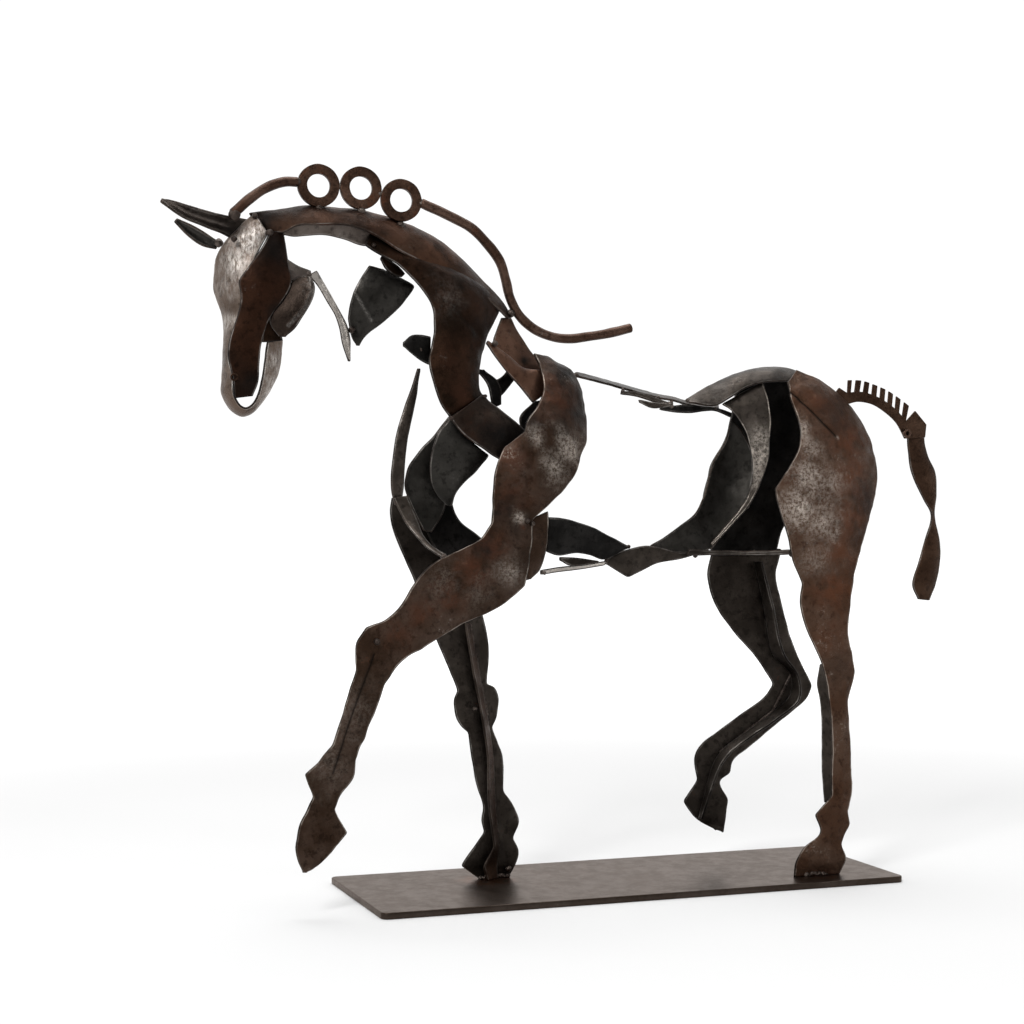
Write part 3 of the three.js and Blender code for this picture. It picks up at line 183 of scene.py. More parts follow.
LEG_SCRAPS = {
    "near_foreleg": [
        [-61, -14, 325.5, -50.5, -10, 324.5, 0], [-59.5, -22, 314, -36, -14, 315.5, 3],
        [-60, -27, 304.5, -30.5, -18, 303, 4], [-64, -31, 295, -29.5, -21, 290.5, 5],
        [-73.5, -34, 283, -30, -25, 279.5, 6, 1], [-75.5, -35, 276.5, -31.5, -27, 272.5, 6, 1],
        [-88.5, -36, 267.5, -35.5, -30, 264.5, 6, 1], [-94.5, -38, 253.5, -41.5, -34, 252, 5],
        [-96.5, -39, 236.5, -58, -37, 235, 3, 2], [-97.5, -39, 222, -70.5, -39, 224, 2, 3],
        [-104.5, -39, 212.5, -71, -39, 211.5, 2], [-122, -39, 204.5, -72.5, -39, 199.5, 2],
        [-135.5, -39, 197.5, -75.5, -39, 184.5, 2, 2], [-146.5, -39, 185.5, -92, -39, 172.5, 2],
        [-154, -38, 173.5, -116.5, -38, 162, 2], [-162.5, -37, 166, -138, -37, 149.5, 1.5],
        [-174, -37, 162, -152, -37, 141, 1, 1], [-180, -37, 152, -160.5, -37, 131.5, 1],
        [-179.5, -36, 136.5, -164.5, -36, 120.5, 1, 1], [-194, -36, 93.5, -180, -36, 85, 1, 3],
        [-202, -36, 85, -180.5, -36, 75, 1], [-210.5, -36, 78, -188.5, -36, 64.5, 1, 1],
        [-205, -36, 64.5, -192, -36, 56.5, 1, 3], [-212, -36, 51, -185, -36, 43, 1, 2],
        [-215, -36, 39, -190.5, -36, 36, 1], [-214, -36, 28, -200, -36, 26.5, 1],
        [-211.5, -36, 22, -208.5, -36, 21.5, 0],
    ],
    "far_foreleg": [
        [-143.5, 15, 237, -133, 15, 238.5, 0], [-144, 16, 229, -123.5, 16, 230, 0],
        [-142.5, 17, 220, -114, 17, 221, 0], [-135.5, 19, 203.5, -101, 19, 205, 0],
        [-128, 20, 187.5, -91, 20, 187, 1], [-112, 22, 148.5, -78.5, 22, 149, 1],
        [-98.5, 22, 117.5, -79.5, 22, 121, 1, 3], [-101, 22, 113, -74, 22, 119, 1],
        [-101, 22, 106.5, -71.5, 22, 113, 1], [-99.5, 22, 100, -71.5, 22, 106, 1],
        [-96, 22, 95, -73, 22, 99.5, 1], [-92, 22, 91.5, -76, 22, 94, 1, 3],
        [-90, 22, 78, -69, 22, 75.5, 1], [-86, 22, 57.5, -68.5, 22, 53.5, 1, 2],
        [-82, 22, 44, -60, 22, 41, 1], [-83, 22, 36.5, -58, 22, 34, 1],
        [-81, 22, 28.5, -62, 22, 24, 1, 3], [-90.5, 22, 16.5, -58, 22, 15.5, 1],
        [-96.5, 22, 8.5, -60.5, 22, 6.5, 1, 1], [-85, 22, 0, -64.5, 22, 0, 0],
    ],
    "near_hind_leg": [
        [109, -22, 311.5, 119, -14, 320, 0], [108, -27, 300.5, 139.5, -15, 311.5, 3],
        [110.5, -33, 285, 160.5, -18, 292.5, 5], [109.5, -36, 272.5, 168.5, -22, 275, 6],
        [101, -38, 257.5, 171.5, -26, 254.5, 7], [90.5, -39, 243.5, 167.5, -30, 240, 7, 1],
        [93, -39, 231.5, 161.5, -33, 226.5, 6], [99, -39, 215, 155, -35, 210.5, 4],
        [102.5, -39, 199, 149, -37, 195, 3], [109.5, -39, 184, 145.5, -38, 179.5, 2, 1],
        [108, -39, 172.5, 143.5, -39, 167, 1.5], [111.5, -39, 157.5, 142, -39, 152, 1],
        [123, -39, 133, 147, -39, 128, 1], [128, -39, 112, 142, -39, 109.5, 1, 2],
        [130, -39, 91.5, 143, -39, 91, 1], [130, -39, 49, 144.5, -39, 50.5, 1, 1],
        [118.5, -39, 38, 141.5, -39, 39.5, 1, 3], [122, -39, 26.5, 143, -39, 31, 1, 2],
        [110, -39, 17, 137, -39, 18, 1], [105, -39, 9.5, 140.5, -39, 9, 1],
        [103, -39, 0, 135.5, -39, 0, 0],
    ],
    "far_hind_leg": [
        [77, 24, 204.5, 127.5, 24, 204, 0], [74, 25, 188, 124, 25, 187, 1],
        [78.5, 26, 171.5, 128.5, 26, 169.5, 1], [92.5, 26, 151.5, 133.5, 26, 151, 1],
        [109.5, 26, 133.5, 141, 26, 132.5, 1], [122.5, 26, 115, 151.5, 26, 113, 1, 3],
        [117.5, 26, 108, 147, 26, 104.5, 1], [98.5, 26, 95.5, 127.5, 26, 90, 1],
        [82.5, 26, 85.5, 105.5, 26, 74, 1], [68.5, 26, 75.5, 93, 26, 65.5, 1],
        [65, 26, 66.5, 91, 26, 57.5, 1, 2], [67.5, 26, 54, 83.5, 26, 52, 1, 1],
        [57, 26, 40.5, 89.5, 26, 40, 1, 3], [63.5, 26, 31.5, 88, 26, 29, 1],
        [69.5, 26, 26.5, 87, 26, 22, 0], [80, 26, 21, 86.5, 26, 19, 0],
    ],
    "elbow_plate": [
        [-75.5, -36, 222.5, -59, -33, 229, 0], [-77, -36, 212.5, -59, -33, 218.5, 1],
        [-77.5, -36, 201.5, -60.5, -33, 204.5, 1], [-76.5, -36, 193.5, -64.5, -33, 193.5, 1],
        [-75, -36, 188.5, -70.5, -34, 189, 0],
    ],
    "far_shoulder": [
        [-117, 6, 273.5, -99, 6, 266, 0], [-119.5, 7, 255, -95, 7, 255, 0],
        [-119, 8, 243.5, -105.5, 8, 244, 0], [-122.5, 9, 233.5, -106, 9, 234, 0],
        [-124.5, 9, 222, -101, 10, 223.5, 0], [-120.5, 10, 212, -88.5, 12, 214.5, 0],
        [-109.5, 14, 196, -75, 15, 202, 0], [-94.5, 17, 172.5, -76.5, 17, 174.5, 0],
    ],
    "far_haunch": [
        [84.5, 4, 307, 122.5, 1, 317.5, 0], [84, 6, 301.5, 123.5, 2, 312.5, 0],
        [83, 8, 291.5, 128.5, 4, 304.5, -2], [80, 12, 274.5, 136.5, 8, 283, -4],
        [71.5, 14, 259.5, 144, 12, 260, -6], [69, 16, 246.5, 145.5, 15, 244, -6],
        [67, 17, 237, 142, 17, 230.5, -5], [71, 19, 217.5, 127, 19, 219.5, -3],
        [74.5, 20, 201, 121.5, 20, 201, -1],
    ],
}

LEG_FINS = {
    "far_foreleg_fin": [
        [-96.5, 13, 160, -91.5, 19.4, 159.5, 0], [-92.5, 13, 135.5, -86.5, 19.4, 134.5, 0],
        [-86, 13, 102.5, -80.5, 19.4, 103, 0], [-82, 13, 76.5, -76, 19.4, 74, 0],
        [-81.5, 13, 50, -75, 19.4, 49, 0], [-77.5, 13, 20.5, -72.5, 19.4, 19.5, 0, 1],
        [-85, 13, 8.5, -73.5, 19.4, 8, 0, 1], [-82, 14, 0, -73, 19.4, 0, 0],
    ],
    "near_hind_fin": [
        [126.5, -31, 131.5, 127, -37.5, 133, 0], [126, -28, 119, 131, -37.5, 116.5, 0],
        [128, -28, 109.5, 133, -37.5, 107.5, 0], [129.5, -28, 89.5, 134.5, -37.5, 90.5, 0],
        [129.5, -28, 64.5, 134.5, -37.5, 65.5, 0], [129.5, -31, 44.5, 133, -37.5, 46.5, 0],
    ],
    "far_hind_fin": [
        [107.5, 23.4, 195.5, 108.5, 14, 196, 0], [114, 23.4, 168, 117, 15, 168, 0],
        [121, 23.4, 134.5, 125.5, 15, 135, 0], [134, 23.4, 121.5, 136, 15, 120.5, 0],
        [134, 23.4, 108.5, 136.5, 15, 105, 0], [121, 23.4, 96.5, 120.5, 15, 93, 0],
        [102.5, 23.4, 85, 101.5, 15, 82, 0], [83, 23.4, 72, 84, 15, 70, 0],
        [77, 23.4, 63, 78.5, 15, 62, 0], [72, 23.4, 46.5, 72.5, 16, 47, 0],
        [67, 23.4, 29.5, 68.5, 20, 30, 0],
    ],
}

BODY_SCRAPS = {
    "chest_blade": [
        [-133, -5, 315, -131, -5, 315, 0], [-136.5, -5, 305, -132.5, -5, 304.5, 0],
        [-140, -5, 295.5, -134, -5, 295, 0.5], [-145, -5, 280.5, -137.5, -5, 280, 1],
        [-148, -5, 265.5, -140, -5, 265.5, 1], [-149.5, -5, 242.5, -141.5, -5, 242.5, 0.5],
        [-147.5, -5, 234, -143, -5, 232, 0],
    ],
    "chest_leaf": [
        [-149.5, -9, 237, -140, -9, 238, 0], [-142.5, -15, 221, -135, -15, 222, 0.5],
        [-137.5, -20, 213.5, -133.5, -20, 214.5, 0.5], [-133.5, -26, 207.5, -130, -26, 208.5, 0.5],
        [-127, -33, 202, -124, -33, 204, 0],
    ],
    "chest_inner_band": [
        [-111, 2, 287.5, -105.5, 0, 283, 0], [-118.5, 3, 277.5, -109, 1, 270, 0],
        [-129, 4, 266, -112.5, 2, 256, 1], [-136.5, 5, 255, -113.5, 3, 245.5, 1],
        [-137.5, 6, 243, -112, 4, 237, 1], [-132, 7, 230, -113, 5, 229, 0],
        [-125.5, 7, 218, -120, 6, 217, 0],
    ],
    "chest_band": [
        [-116, -17, 285.5, -108, -19, 275, 0], [-123.5, -15, 276, -96.5, -19, 266.5, 2],
        [-126, -13, 266.5, -91, -18, 263, 3, 2], [-127, -11, 255.5, -98, -16, 254.5, 3],
        [-125.5, -9, 246, -107, -14, 245.5, 2], [-121.5, -8, 239, -111.5, -12, 239, 1],
        [-115.5, -7, 233.5, -112, -9, 233, 0],
    ],
    "croup_ribbon": [
        [45.5, -10, 298, 46, -4, 300.5, 0], [59.5, -16, 296, 59, -4, 308.5, 1],
        [70, -19, 301.5, 77, -4, 316.5, 3], [78.5, -20, 307, 95, -4, 321.5, 3],
        [91, -20, 311, 109, -4, 322.5, 2], [108.5, -18, 312.5, 121, -5, 321, 1],
        [119.5, -14, 314, 126, -8, 318, 0],
    ],
    "back_ribbon": [
        [-34, -12, 313, -29, -4, 315.5, 0], [-9, -11, 308, -4, 1, 311, 0],
        [21.5, -10, 301, 28, 2, 303.5, 0], [34, -8, 299.5, 38.5, 2, 302, 0],
        [46.5, -1, 297.5, 50, 6, 300, 0], [71, 2, 294.5, 74.5, 10, 298, 0],
    ],
    "back_strip": [
        [-4, -15, 302, -3, -15, 304, 0], [7.5, -15, 300.5, 7.5, -14, 304, 0],
        [19.5, -14, 297.5, 19.5, -13, 300.5, 0], [30.5, -13, 295.5, 31.5, -12, 297, 0],
    ],
    "back_leaf": [
        [7.5, -18, 297, 7, -18, 298.5, 0], [15, -18, 293.5, 16, -18, 297.5, 1],
        [28.5, -17, 295, 29, -17, 296.5, 0],
    ],
    "back_under_strip": [
        [26.5, -6, 293.5, 28, -6, 295.5, 0], [35, -6, 292, 35, -6, 296, 0],
        [44, -7, 291.5, 44, -7, 297, 0], [64.5, -8, 293, 64.5, -8, 295, 0],
        [74.5, -8, 289, 75, -8, 292.5, 0],
    ],
    "flank_crescent": [
        [66.5, -13, 297, 93.5, -17, 311.5, 0], [72, -14, 293.5, 94.5, -22, 300.5, 2],
        [80.5, -14, 283.5, 95.5, -24, 287, 2], [85.5, -14, 271.5, 95, -23, 273.5, 1.5],
        [88, -13, 259, 95.5, -20, 261.5, 1], [88.5, -11, 248, 92, -15, 246.5, 0.5],
        [85, -9, 237, 88, -11, 235, 0], [76, -8, 225, 78, -9, 223, 0],
        [61, -8, 209, 62, -9, 207.5, 0],
    ],
    "flank_ribbon": [
        [80, 2, 289, 86, -2, 280.5, 0], [76, 3, 275, 92, -3, 270, -2],
        [67.5, 4, 260.5, 94, -3, 257.5, -4], [64, 4, 248, 92.5, -3, 245.5, -4],
        [60.5, 3, 238, 88, -3, 233, -3], [53, 0, 227.5, 79, -4, 222, -2],
        [42, -3, 220.5, 69, -5, 212, -1], [30.5, -5, 213.5, 62.5, -6, 205.5, -1],
        [19.5, -7, 208, 31.5, -7, 203.5, 0],
    ],
    "belly_panel": [
        [-57, -26, 204.5, -56.5, -28, 226, 0], [-48, -22, 202, -48, -24, 225.5, 2],
        [-36.5, -18, 203.5, -37, -21, 223, 3], [-25.5, -16, 202.5, -25, -18, 220, 3],
        [-16, -14, 199.5, -12.5, -15, 214.5, 2], [1, -12, 206, 2, -12, 208, 0],
    ],
    "belly_tab": [
        [-42.5, -10, 199, -42.5, -10, 201, 0], [-37, -9, 196, -34, -9, 201, 0],
        [-22, -9, 195.5, -16, -9, 198.5, 0],
    ],
    "belly_strip": [
        [-62.5, -30, 191, -62.5, -30, 194, 0], [-48.5, -25, 192.5, -48.5, -25, 195.5, 0],
        [-35.5, -21, 193.5, -35.5, -21, 196, 0], [-15.5, -16, 196, -15.5, -16, 198.5, 0],
    ],
    "belly_diamond": [
        [-12.5, -11, 196.5, -13, -11, 199, 0], [-5.5, -11, 192.5, -6, -11, 203, 1],
        [2.5, -11, 188, 4, -11, 206, 3, 1], [11.5, -11, 192, 15, -11, 208, 2],
        [21.5, -11, 196.5, 25.5, -11, 206.5, 1], [37.5, -11, 199, 39.5, -11, 203.5, 0],
        [53.5, -11, 203, 54.5, -11, 205, 0],
    ],
    "belly_tie": [
        [41, -14, 201.5, 43.5, -14, 205.5, 0], [70.5, -19, 201.5, 70.5, -19, 204.5, 0],
        [89.5, -26, 201.5, 88, -26, 204.5, 0], [103, -35, 202, 103, -35, 205.5, 0],
    ],
    "tail_leaf": [
        [201.5, -11.5, 283, 214.5, -11.5, 283.5, 0], [201.5, -11.5, 275.5, 215, -11.5, 275, 1],
        [202, -12, 268, 217, -12, 266, 2], [203.5, -12, 257, 222.5, -12, 255.5, 2],
        [213.5, -12, 237, 223.5, -12, 240, 1], [219, -13, 227, 222.5, -11, 227, 0],
        [215, -12, 211.5, 225.5, -12, 212, 1], [209, -12, 193.5, 226.5, -12, 199.5, 2],
        [205, -12, 180.5, 223, -12, 181, 2], [209, -12, 172, 218.5, -12, 171, 0],
    ],
}


def lattice(cell, seed):
    """A repeatable random value from -1 to 1 for each whole-number corner."""
    x, y, z = (cell[..., k].astype(np.int64) for k in range(3))
    h = (x * 73856093) ^ (y * 19349663) ^ (z * 83492791) ^ (seed * 2654435761)
    h = ((h ^ (h >> 13)) * 1274126177) & 0xFFFFFFFF
    h = h ^ (h >> 16)
    return (h & 0xFFFF) / 32767.5 - 1.0


def lumps(p, wave, seed):
    """Smooth noise from -1 to 1, whose lumps are about one wave across."""
    q = p / wave + 512.0
    cell = np.floor(q)
    f = q - cell
    f = f * f * (3 - 2 * f)
    total = np.zeros(p.shape[:-1])
    for corner in np.ndindex(2, 2, 2):
        step = np.array(corner)
        weight = np.prod(np.where(step == 1, f, 1 - f), axis=-1)
        total += weight * lattice(cell + step, seed)
    return total


def hammered(p, wave, seed):
    """Shallow overlapping bowls, 0 on the lips between them and -1 in their middles."""
    q = p / wave + 512.0
    cell = np.floor(q)
    nearest = np.full(p.shape[:-1], 9.0)
    for corner in np.ndindex(3, 3, 3):
        near = cell + np.array(corner) - 1
        jitter = np.stack([lattice(near, seed + k) for k in range(3)], axis=-1) * 0.45 + 0.5
        nearest = np.minimum(nearest, np.sum((near + jitter - q) ** 2, axis=-1))
    return np.minimum(nearest, 0.6) / 0.6 - 1.0


def fine_steps(counts):
    """For each fine point of a line, its segment and how far along that segment it is."""
    segment = np.repeat(np.arange(len(counts)), counts)
    share = np.concatenate([np.arange(count) / count for count in counts])
    return np.append(segment, len(counts) - 1), np.append(share, 1.0)


def along_edge(points, sharp, segment, share):
    """Points of the smooth curve through an edge's stations."""
    points = np.asarray(points, float)
    steps = np.diff(points, axis=0)
    units = steps / np.maximum(np.linalg.norm(steps, axis=1, keepdims=True), 0.01)
    leave = np.vstack([units[:1], (units[1:] + units[:-1]) / 2])
    arrive = np.vstack([(units[1:] + units[:-1]) / 2, units[-1:]])
    for i in range(1, len(points) - 1):
        if sharp[i]:
            leave[i] = units[i]
            arrive[i - 1] = units[i - 1]
    length = np.linalg.norm(steps, axis=1)[segment][:, None]
    s = share[:, None]
    return ((2 * s**3 - 3 * s**2 + 1) * points[segment]
            + (s**3 - 2 * s**2 + s) * leave[segment] * length
            + (3 * s**2 - 2 * s**3) * points[segment + 1]
            + (s**3 - s**2) * arrive[segment] * length)


def unit(v):
    """Vectors of length 1 in the same directions."""
    return v / np.maximum(np.linalg.norm(v, axis=-1, keepdims=True), 1e-9)


def grid_normals(grid):
    """The direction straight out of the surface at each point of a grid."""
    along = np.gradient(grid, axis=0)
    across = np.gradient(grid, axis=1)
    return unit(np.cross(along, across))


def middle_surface(stations, cell, waver, seed):
    """The scrap's middle surface as rows of points, in millimetres over the plate's top."""
    rows = np.array([list(s[:7]) for s in stations], float)
    marks = [s[7] if len(s) > 7 else 0 for s in stations]
    first, second = rows[:, 0:3], rows[:, 3:6]
    reach = np.maximum(np.linalg.norm(np.diff(first, axis=0), axis=1),
                       np.linalg.norm(np.diff(second, axis=0), axis=1))
    segment, share = fine_steps([max(2, math.ceil(length / cell)) for length in reach])
    a = along_edge(first, [m & 1 for m in marks], segment, share)
    b = along_edge(second, [m & 2 for m in marks], segment, share)
    for _ in range(CORNER_SOFTENING):
        for edge in (a, b):
            edge[1:-1] = (edge[:-2] + 2 * edge[1:-1] + edge[2:]) / 4
    side = unit(b - a)
    a = a + side * (lumps(a, EDGE_WAVE, seed) * waver)[:, None]
    b = b + side * (lumps(b, EDGE_WAVE, seed + 5) * waver)[:, None]
    inset = np.minimum(EDGE_ROUND * SHEET, np.linalg.norm(b - a, axis=1) * 0.2)[:, None]
    a, b = a + side * inset, b - side * inset
    bulge = np.interp(segment + share, np.arange(len(rows)), rows[:, 6])
    widest = np.linalg.norm(b - a, axis=1).max()
    columns = max(4, math.ceil(widest / cell)) + 1
    t = np.linspace(0, 1, columns)[None, :, None]
    flat = a[:, None, :] * (1 - t) + b[:, None, :] * t
    middle = (a + b) / 2
    normal = unit(np.cross(np.gradient(middle, axis=0), b - a))
    rise = 4 * t * (1 - t) * bulge[:, None, None]
    return flat + normal[:, None, :] * rise


def new_object(name, vertices, faces, materials, marks=None):
    """A mesh object in metres. marks give each face's place in the list of materials."""
    mesh = bpy.data.meshes.new(name)
    mesh.from_pydata([tuple(v) for v in vertices * MM], [], faces)
    if marks is not None:
        mesh.polygons.foreach_set("material_index", np.asarray(marks, dtype=np.int32))
    mesh.polygons.foreach_set("use_smooth", [True] * len(mesh.polygons))
    mesh.update()
    for material in materials:
        mesh.materials.append(material)
    piece = bpy.data.objects.new(name, mesh)
    bpy.context.scene.collection.objects.link(piece)
    return piece


def near_line(p, line):
    """How far each point is from a line of x, z corners, seen from the near side."""
    nearest = np.full(p.shape[:-1], 999.0)
    for start, end in zip(line[:-1], line[1:]):
        start, end = np.array(start, float), np.array(end, float)
        along = end - start
        q = p[..., [0, 2]] - start
        share = np.clip(q @ along / (along @ along), 0, 1)
        nearest = np.minimum(nearest, np.linalg.norm(q - share[..., None] * along, axis=-1))
    return nearest


def patches(p, spots, seed):
    """1 in the middle of each x, z, reach, strength spot, and less further out, with ragged edges."""
    total = np.zeros(p.shape[:-1])
    ragged = 1 + 0.35 * lumps(p, 6.0, seed) + 0.2 * lumps(p, 2.5, seed + 1)
    for x, z, reach, strength in spots:
        away = np.hypot(p[..., 0] - x, p[..., 2] - z) / reach
        total = np.maximum(total, strength * np.exp(-(away * ragged) ** 2))
    return total


def paint(piece, name, values):
    """Keeps a value for each point of a mesh, which the materials read by name."""
    layer = piece.data.attributes.new(name, "FLOAT", "POINT")
    layer.data.foreach_set("value", np.asarray(values, dtype=np.float32))


def tube_faces(rings, sides, closed=False):
    """Faces between neighbouring rings of points, and from the last to the first if closed."""
    faces = []
    for i in range(rings if closed else rings - 1):
        for j in range(sides):
            here, beyond, k = i * sides, (i + 1) % rings * sides, (j + 1) % sides
            faces.append((here + j, here + k, beyond + k, beyond + j))
    return faces


def sheet_object(name, middle, thickness, materials, paints):
    """A closed sheet around a middle surface, with rounded cut edges as its second material."""
    rows, columns = middle.shape[:2]
    normal = grid_normals(middle)
    half = thickness / 2
    count = rows * columns
    index = np.arange(count).reshape(rows, columns)
    cells = np.stack([index[:-1, :-1], index[1:, :-1], index[1:, 1:], index[:-1, 1:]], axis=-1)
    cells = cells.reshape(-1, 4)
    faces = cells.tolist() + (cells[:, ::-1] + count).tolist()
    marks = [0] * len(faces)
    loop = [(i, 0) for i in range(rows - 1)] + [(rows - 1, j) for j in range(columns - 1)]
    loop += [(i, columns - 1) for i in range(rows - 1, 0, -1)] + [(0, j) for j in range(columns - 1, 0, -1)]
    li, lj = np.array(loop).T
    along = unit(np.gradient(middle, axis=0))
    across = unit(np.gradient(middle, axis=1))
    outward = np.zeros((len(loop), 3))
    outward -= across[li, lj] * (lj == 0)[:, None]
    outward += across[li, lj] * (lj == columns - 1)[:, None]
    outward -= along[li, lj] * (li == 0)[:, None]
    outward += along[li, lj] * (li == rows - 1)[:, None]
    outward = unit(outward)
    border, lift = middle[li, lj], normal[li, lj]
    vertices = [(middle + normal * half).reshape(-1, 3), (middle - normal * half).reshape(-1, 3)]
    ring = len(loop)
    for k in range(1, RIM_STEPS):
        angle = math.pi / 2 - math.pi * k / RIM_STEPS
        out = math.cos(angle) * EDGE_ROUND * thickness
        vertices.append(border + outward * out + lift * math.sin(angle) * half)
    levels = [li * columns + lj]
    levels += [2 * count + k * ring + np.arange(ring) for k in range(RIM_STEPS - 1)]
    levels.append(count + li * columns + lj)
    for upper, lower in zip(levels[:-1], levels[1:]):
        quads = np.stack([upper, lower, np.roll(lower, -1), np.roll(upper, -1)], axis=-1)
        faces += quads.tolist()
        marks += [1] * ring
    piece = new_object(name, np.vstack(vertices), faces, materials, marks)
    to_side = [np.linalg.norm(np.diff(grid, axis=1, prepend=grid[:, :1]), axis=-1).cumsum(axis=1)
               for grid in (middle, middle[:, ::-1])]
    distance = np.minimum(to_side[0], to_side[1][:, ::-1])
    paints = dict(paints, wear=np.exp(-distance / WEAR_REACH))
    for key, grid in paints.items():
        edge = np.tile(grid[li, lj], RIM_STEPS - 1)
        paint(piece, key, np.concatenate([grid.reshape(-1), grid.reshape(-1), edge]))
    return piece


# Finishes. Each is a dark steel whose patina, bare metal with painted highlights, rust and painted shade are
# mixed by noise
def link(tree, a, b):
    tree.links.new(a, b)


def noise_node(tree, coords, scale, detail, rough, stretch=None):
    node = tree.nodes.new("ShaderNodeTexNoise")
    node.inputs["Scale"].default_value = scale
    node.inputs["Detail"].default_value = detail
    node.inputs["Roughness"].default_value = rough
    if stretch:
        mapping = tree.nodes.new("ShaderNodeMapping")
        mapping.inputs["Scale"].default_value = stretch
        link(tree, coords, mapping.inputs["Vector"])
        coords = mapping.outputs["Vector"]
    link(tree, coords, node.inputs["Vector"])
    return node.outputs["Fac"]


def ramp(tree, value, low, high, to_low=0.0, to_high=1.0):
    """A smooth change from to_low to to_high while the value goes from low to high."""
    node = tree.nodes.new("ShaderNodeMapRange")
    node.interpolation_type = "SMOOTHSTEP"
    node.inputs["From Min"].default_value = low
    node.inputs["From Max"].default_value = high
    node.inputs["To Min"].default_value = to_low
    node.inputs["To Max"].default_value = to_high
    link(tree, value, node.inputs["Value"])
    return node.outputs["Result"]


def blend(tree, fac, a, b):
    """A colour between two sockets or colours."""
    node = tree.nodes.new("ShaderNodeMix")
    node.data_type = "RGBA"
    for socket, value in ((node.inputs["A"], a), (node.inputs["B"], b)):
        if isinstance(value, tuple):
            socket.default_value = (*value, 1)
        else:
            link(tree, value, socket)
    link(tree, fac, node.inputs["Factor"])
    return node.outputs["Result"]


def arithmetic(tree, operation, a, b):
    """A sum of two sockets or numbers, kept between 0 and 1."""
    node = tree.nodes.new("ShaderNodeMath")
    node.operation = operation
    node.use_clamp = True
    for socket, value in zip(node.inputs, (a, b)):
        if isinstance(value, (int, float)):
            socket.default_value = value
        else:
            link(tree, value, socket)
    return node.outputs[0]


def painted(tree, name):
    """The value that paint() kept under this name."""
    node = tree.nodes.new("ShaderNodeAttribute")
    node.attribute_name = name
    return node.outputs["Fac"]


RUST = (0.075, 0.030, 0.017)
DULL_RUST = (0.040, 0.018, 0.011)
# The dark of painted shade
SHADE_DARK = (0.010, 0.009, 0.0085)
# The dark of the painted shade in slits
SLIT_SHADE = (0.004, 0.0035, 0.003)
# The next two colours are of bare metal and also of painted highlights
BARE_AND_SHEEN_GREY = (0.30, 0.28, 0.26)
PALE = (0.80, 0.71, 0.62)
# How many lumps of each noise there are to a metre
CLOUDS, BANDS, GLOSS, MOTTLE, GRAIN, SPECKLE = 42, 85, 120, 230, 330, 480


def steel(name, base, patina, bare_share, rust_share, rough, grit, edge, bare_and_sheen=BARE_AND_SHEEN_GREY, rust=RUST,
          streak=None, tint=(1, 1, 1), pits=0.7):
    """Sheet steel: patina clouds, a fine mottle, rust and painted shade where painted, and worn bare metal
    with painted highlights.
    """
    material = bpy.data.materials.new(name)
    material.use_nodes = True
    tree = material.node_tree
    shader = tree.nodes["Principled BSDF"]
    coords = tree.nodes.new("ShaderNodeTexCoord").outputs["Object"]
    clouds = noise_node(tree, coords, CLOUDS, 5, 0.6)
    bands = noise_node(tree, coords, BANDS, 6, 0.65)
    mottle = noise_node(tree, coords, MOTTLE, 5, 0.7)
    speckle = noise_node(tree, coords, SPECKLE, 7, 0.85, streak)
    colour = blend(tree, ramp(tree, clouds, 0.38, 0.64), base, patina)
    darker = tuple(0.45 * c for c in base)
    colour = blend(tree, ramp(tree, mottle, 0.5, 0.34, 0.0, pits), colour, darker)
    own_rust = ramp(tree, bands, 0.70 - rust_share * 0.4, 0.80 - rust_share * 0.2)
    stained = arithmetic(tree, "MULTIPLY", painted(tree, "rust"), ramp(tree, bands, 0.34, 0.58))
    colour = blend(tree, arithmetic(tree, "MAXIMUM", own_rust, stained), colour, rust)
    # Painted shade: the painted dark spots, broken up by noise
    shaded = arithmetic(tree, "MULTIPLY", painted(tree, "painted_shade"), ramp(tree, bands, 0.66, 0.44, 0.5, 1.0))
    colour = blend(tree, shaded, colour, SHADE_DARK)
    sparkle = arithmetic(tree, "MULTIPLY", ramp(tree, speckle, 0.5, 0.72),
                         ramp(tree, clouds, 0.66 - bare_share * 0.4, 0.76 - bare_share * 0.2))
    sparkle = arithmetic(tree, "MULTIPLY", sparkle, 0.55)
    # Painted highlights mixed with bare metal, at the spots that build_scrap paints
    sheen_and_bare = arithmetic(tree, "MULTIPLY", painted(tree, "bare_and_sheen"), ramp(tree, speckle, 0.41, 0.59, 0.08, 1.0))
    rubbed = arithmetic(tree, "MULTIPLY", ramp(tree, painted(tree, "wear"), 0.45, 1.0),
                        ramp(tree, bands, 0.42, 0.6, 0.15 * edge, edge))
    # Bright metal: random flecks, worn edges, and the painted spots, which are partly painted highlights
    bright = arithmetic(tree, "MAXIMUM", arithmetic(tree, "MAXIMUM", sparkle, sheen_and_bare), rubbed)
    colour = blend(tree, bright, colour, bare_and_sheen)
    # Painted shade along slits and seam lines
    colour = blend(tree, painted(tree, "slit_shade"), colour, SLIT_SHADE)
    link(tree, colour, shader.inputs["Base Color"])
    shader.inputs["Metallic"].default_value = 1.0
    gloss = ramp(tree, noise_node(tree, coords, GLOSS, 5, 0.65), 0.32, 0.68, rough[0], rough[1])
    polished = ramp(tree, bright, 0.2, 0.9, 0.0, 0.1)
    link(tree, arithmetic(tree, "SUBTRACT", gloss, polished), shader.inputs["Roughness"])
    shader.inputs["Specular Tint"].default_value = (*tint, 1)
    bump = tree.nodes.new("ShaderNodeBump")
    bump.inputs["Strength"].default_value = grit
    bump.inputs["Distance"].default_value = MM
    link(tree, noise_node(tree, coords, GRAIN, 7, 0.76, streak), bump.inputs["Height"])
    link(tree, bump.outputs["Normal"], shader.inputs["Normal"])
    return material


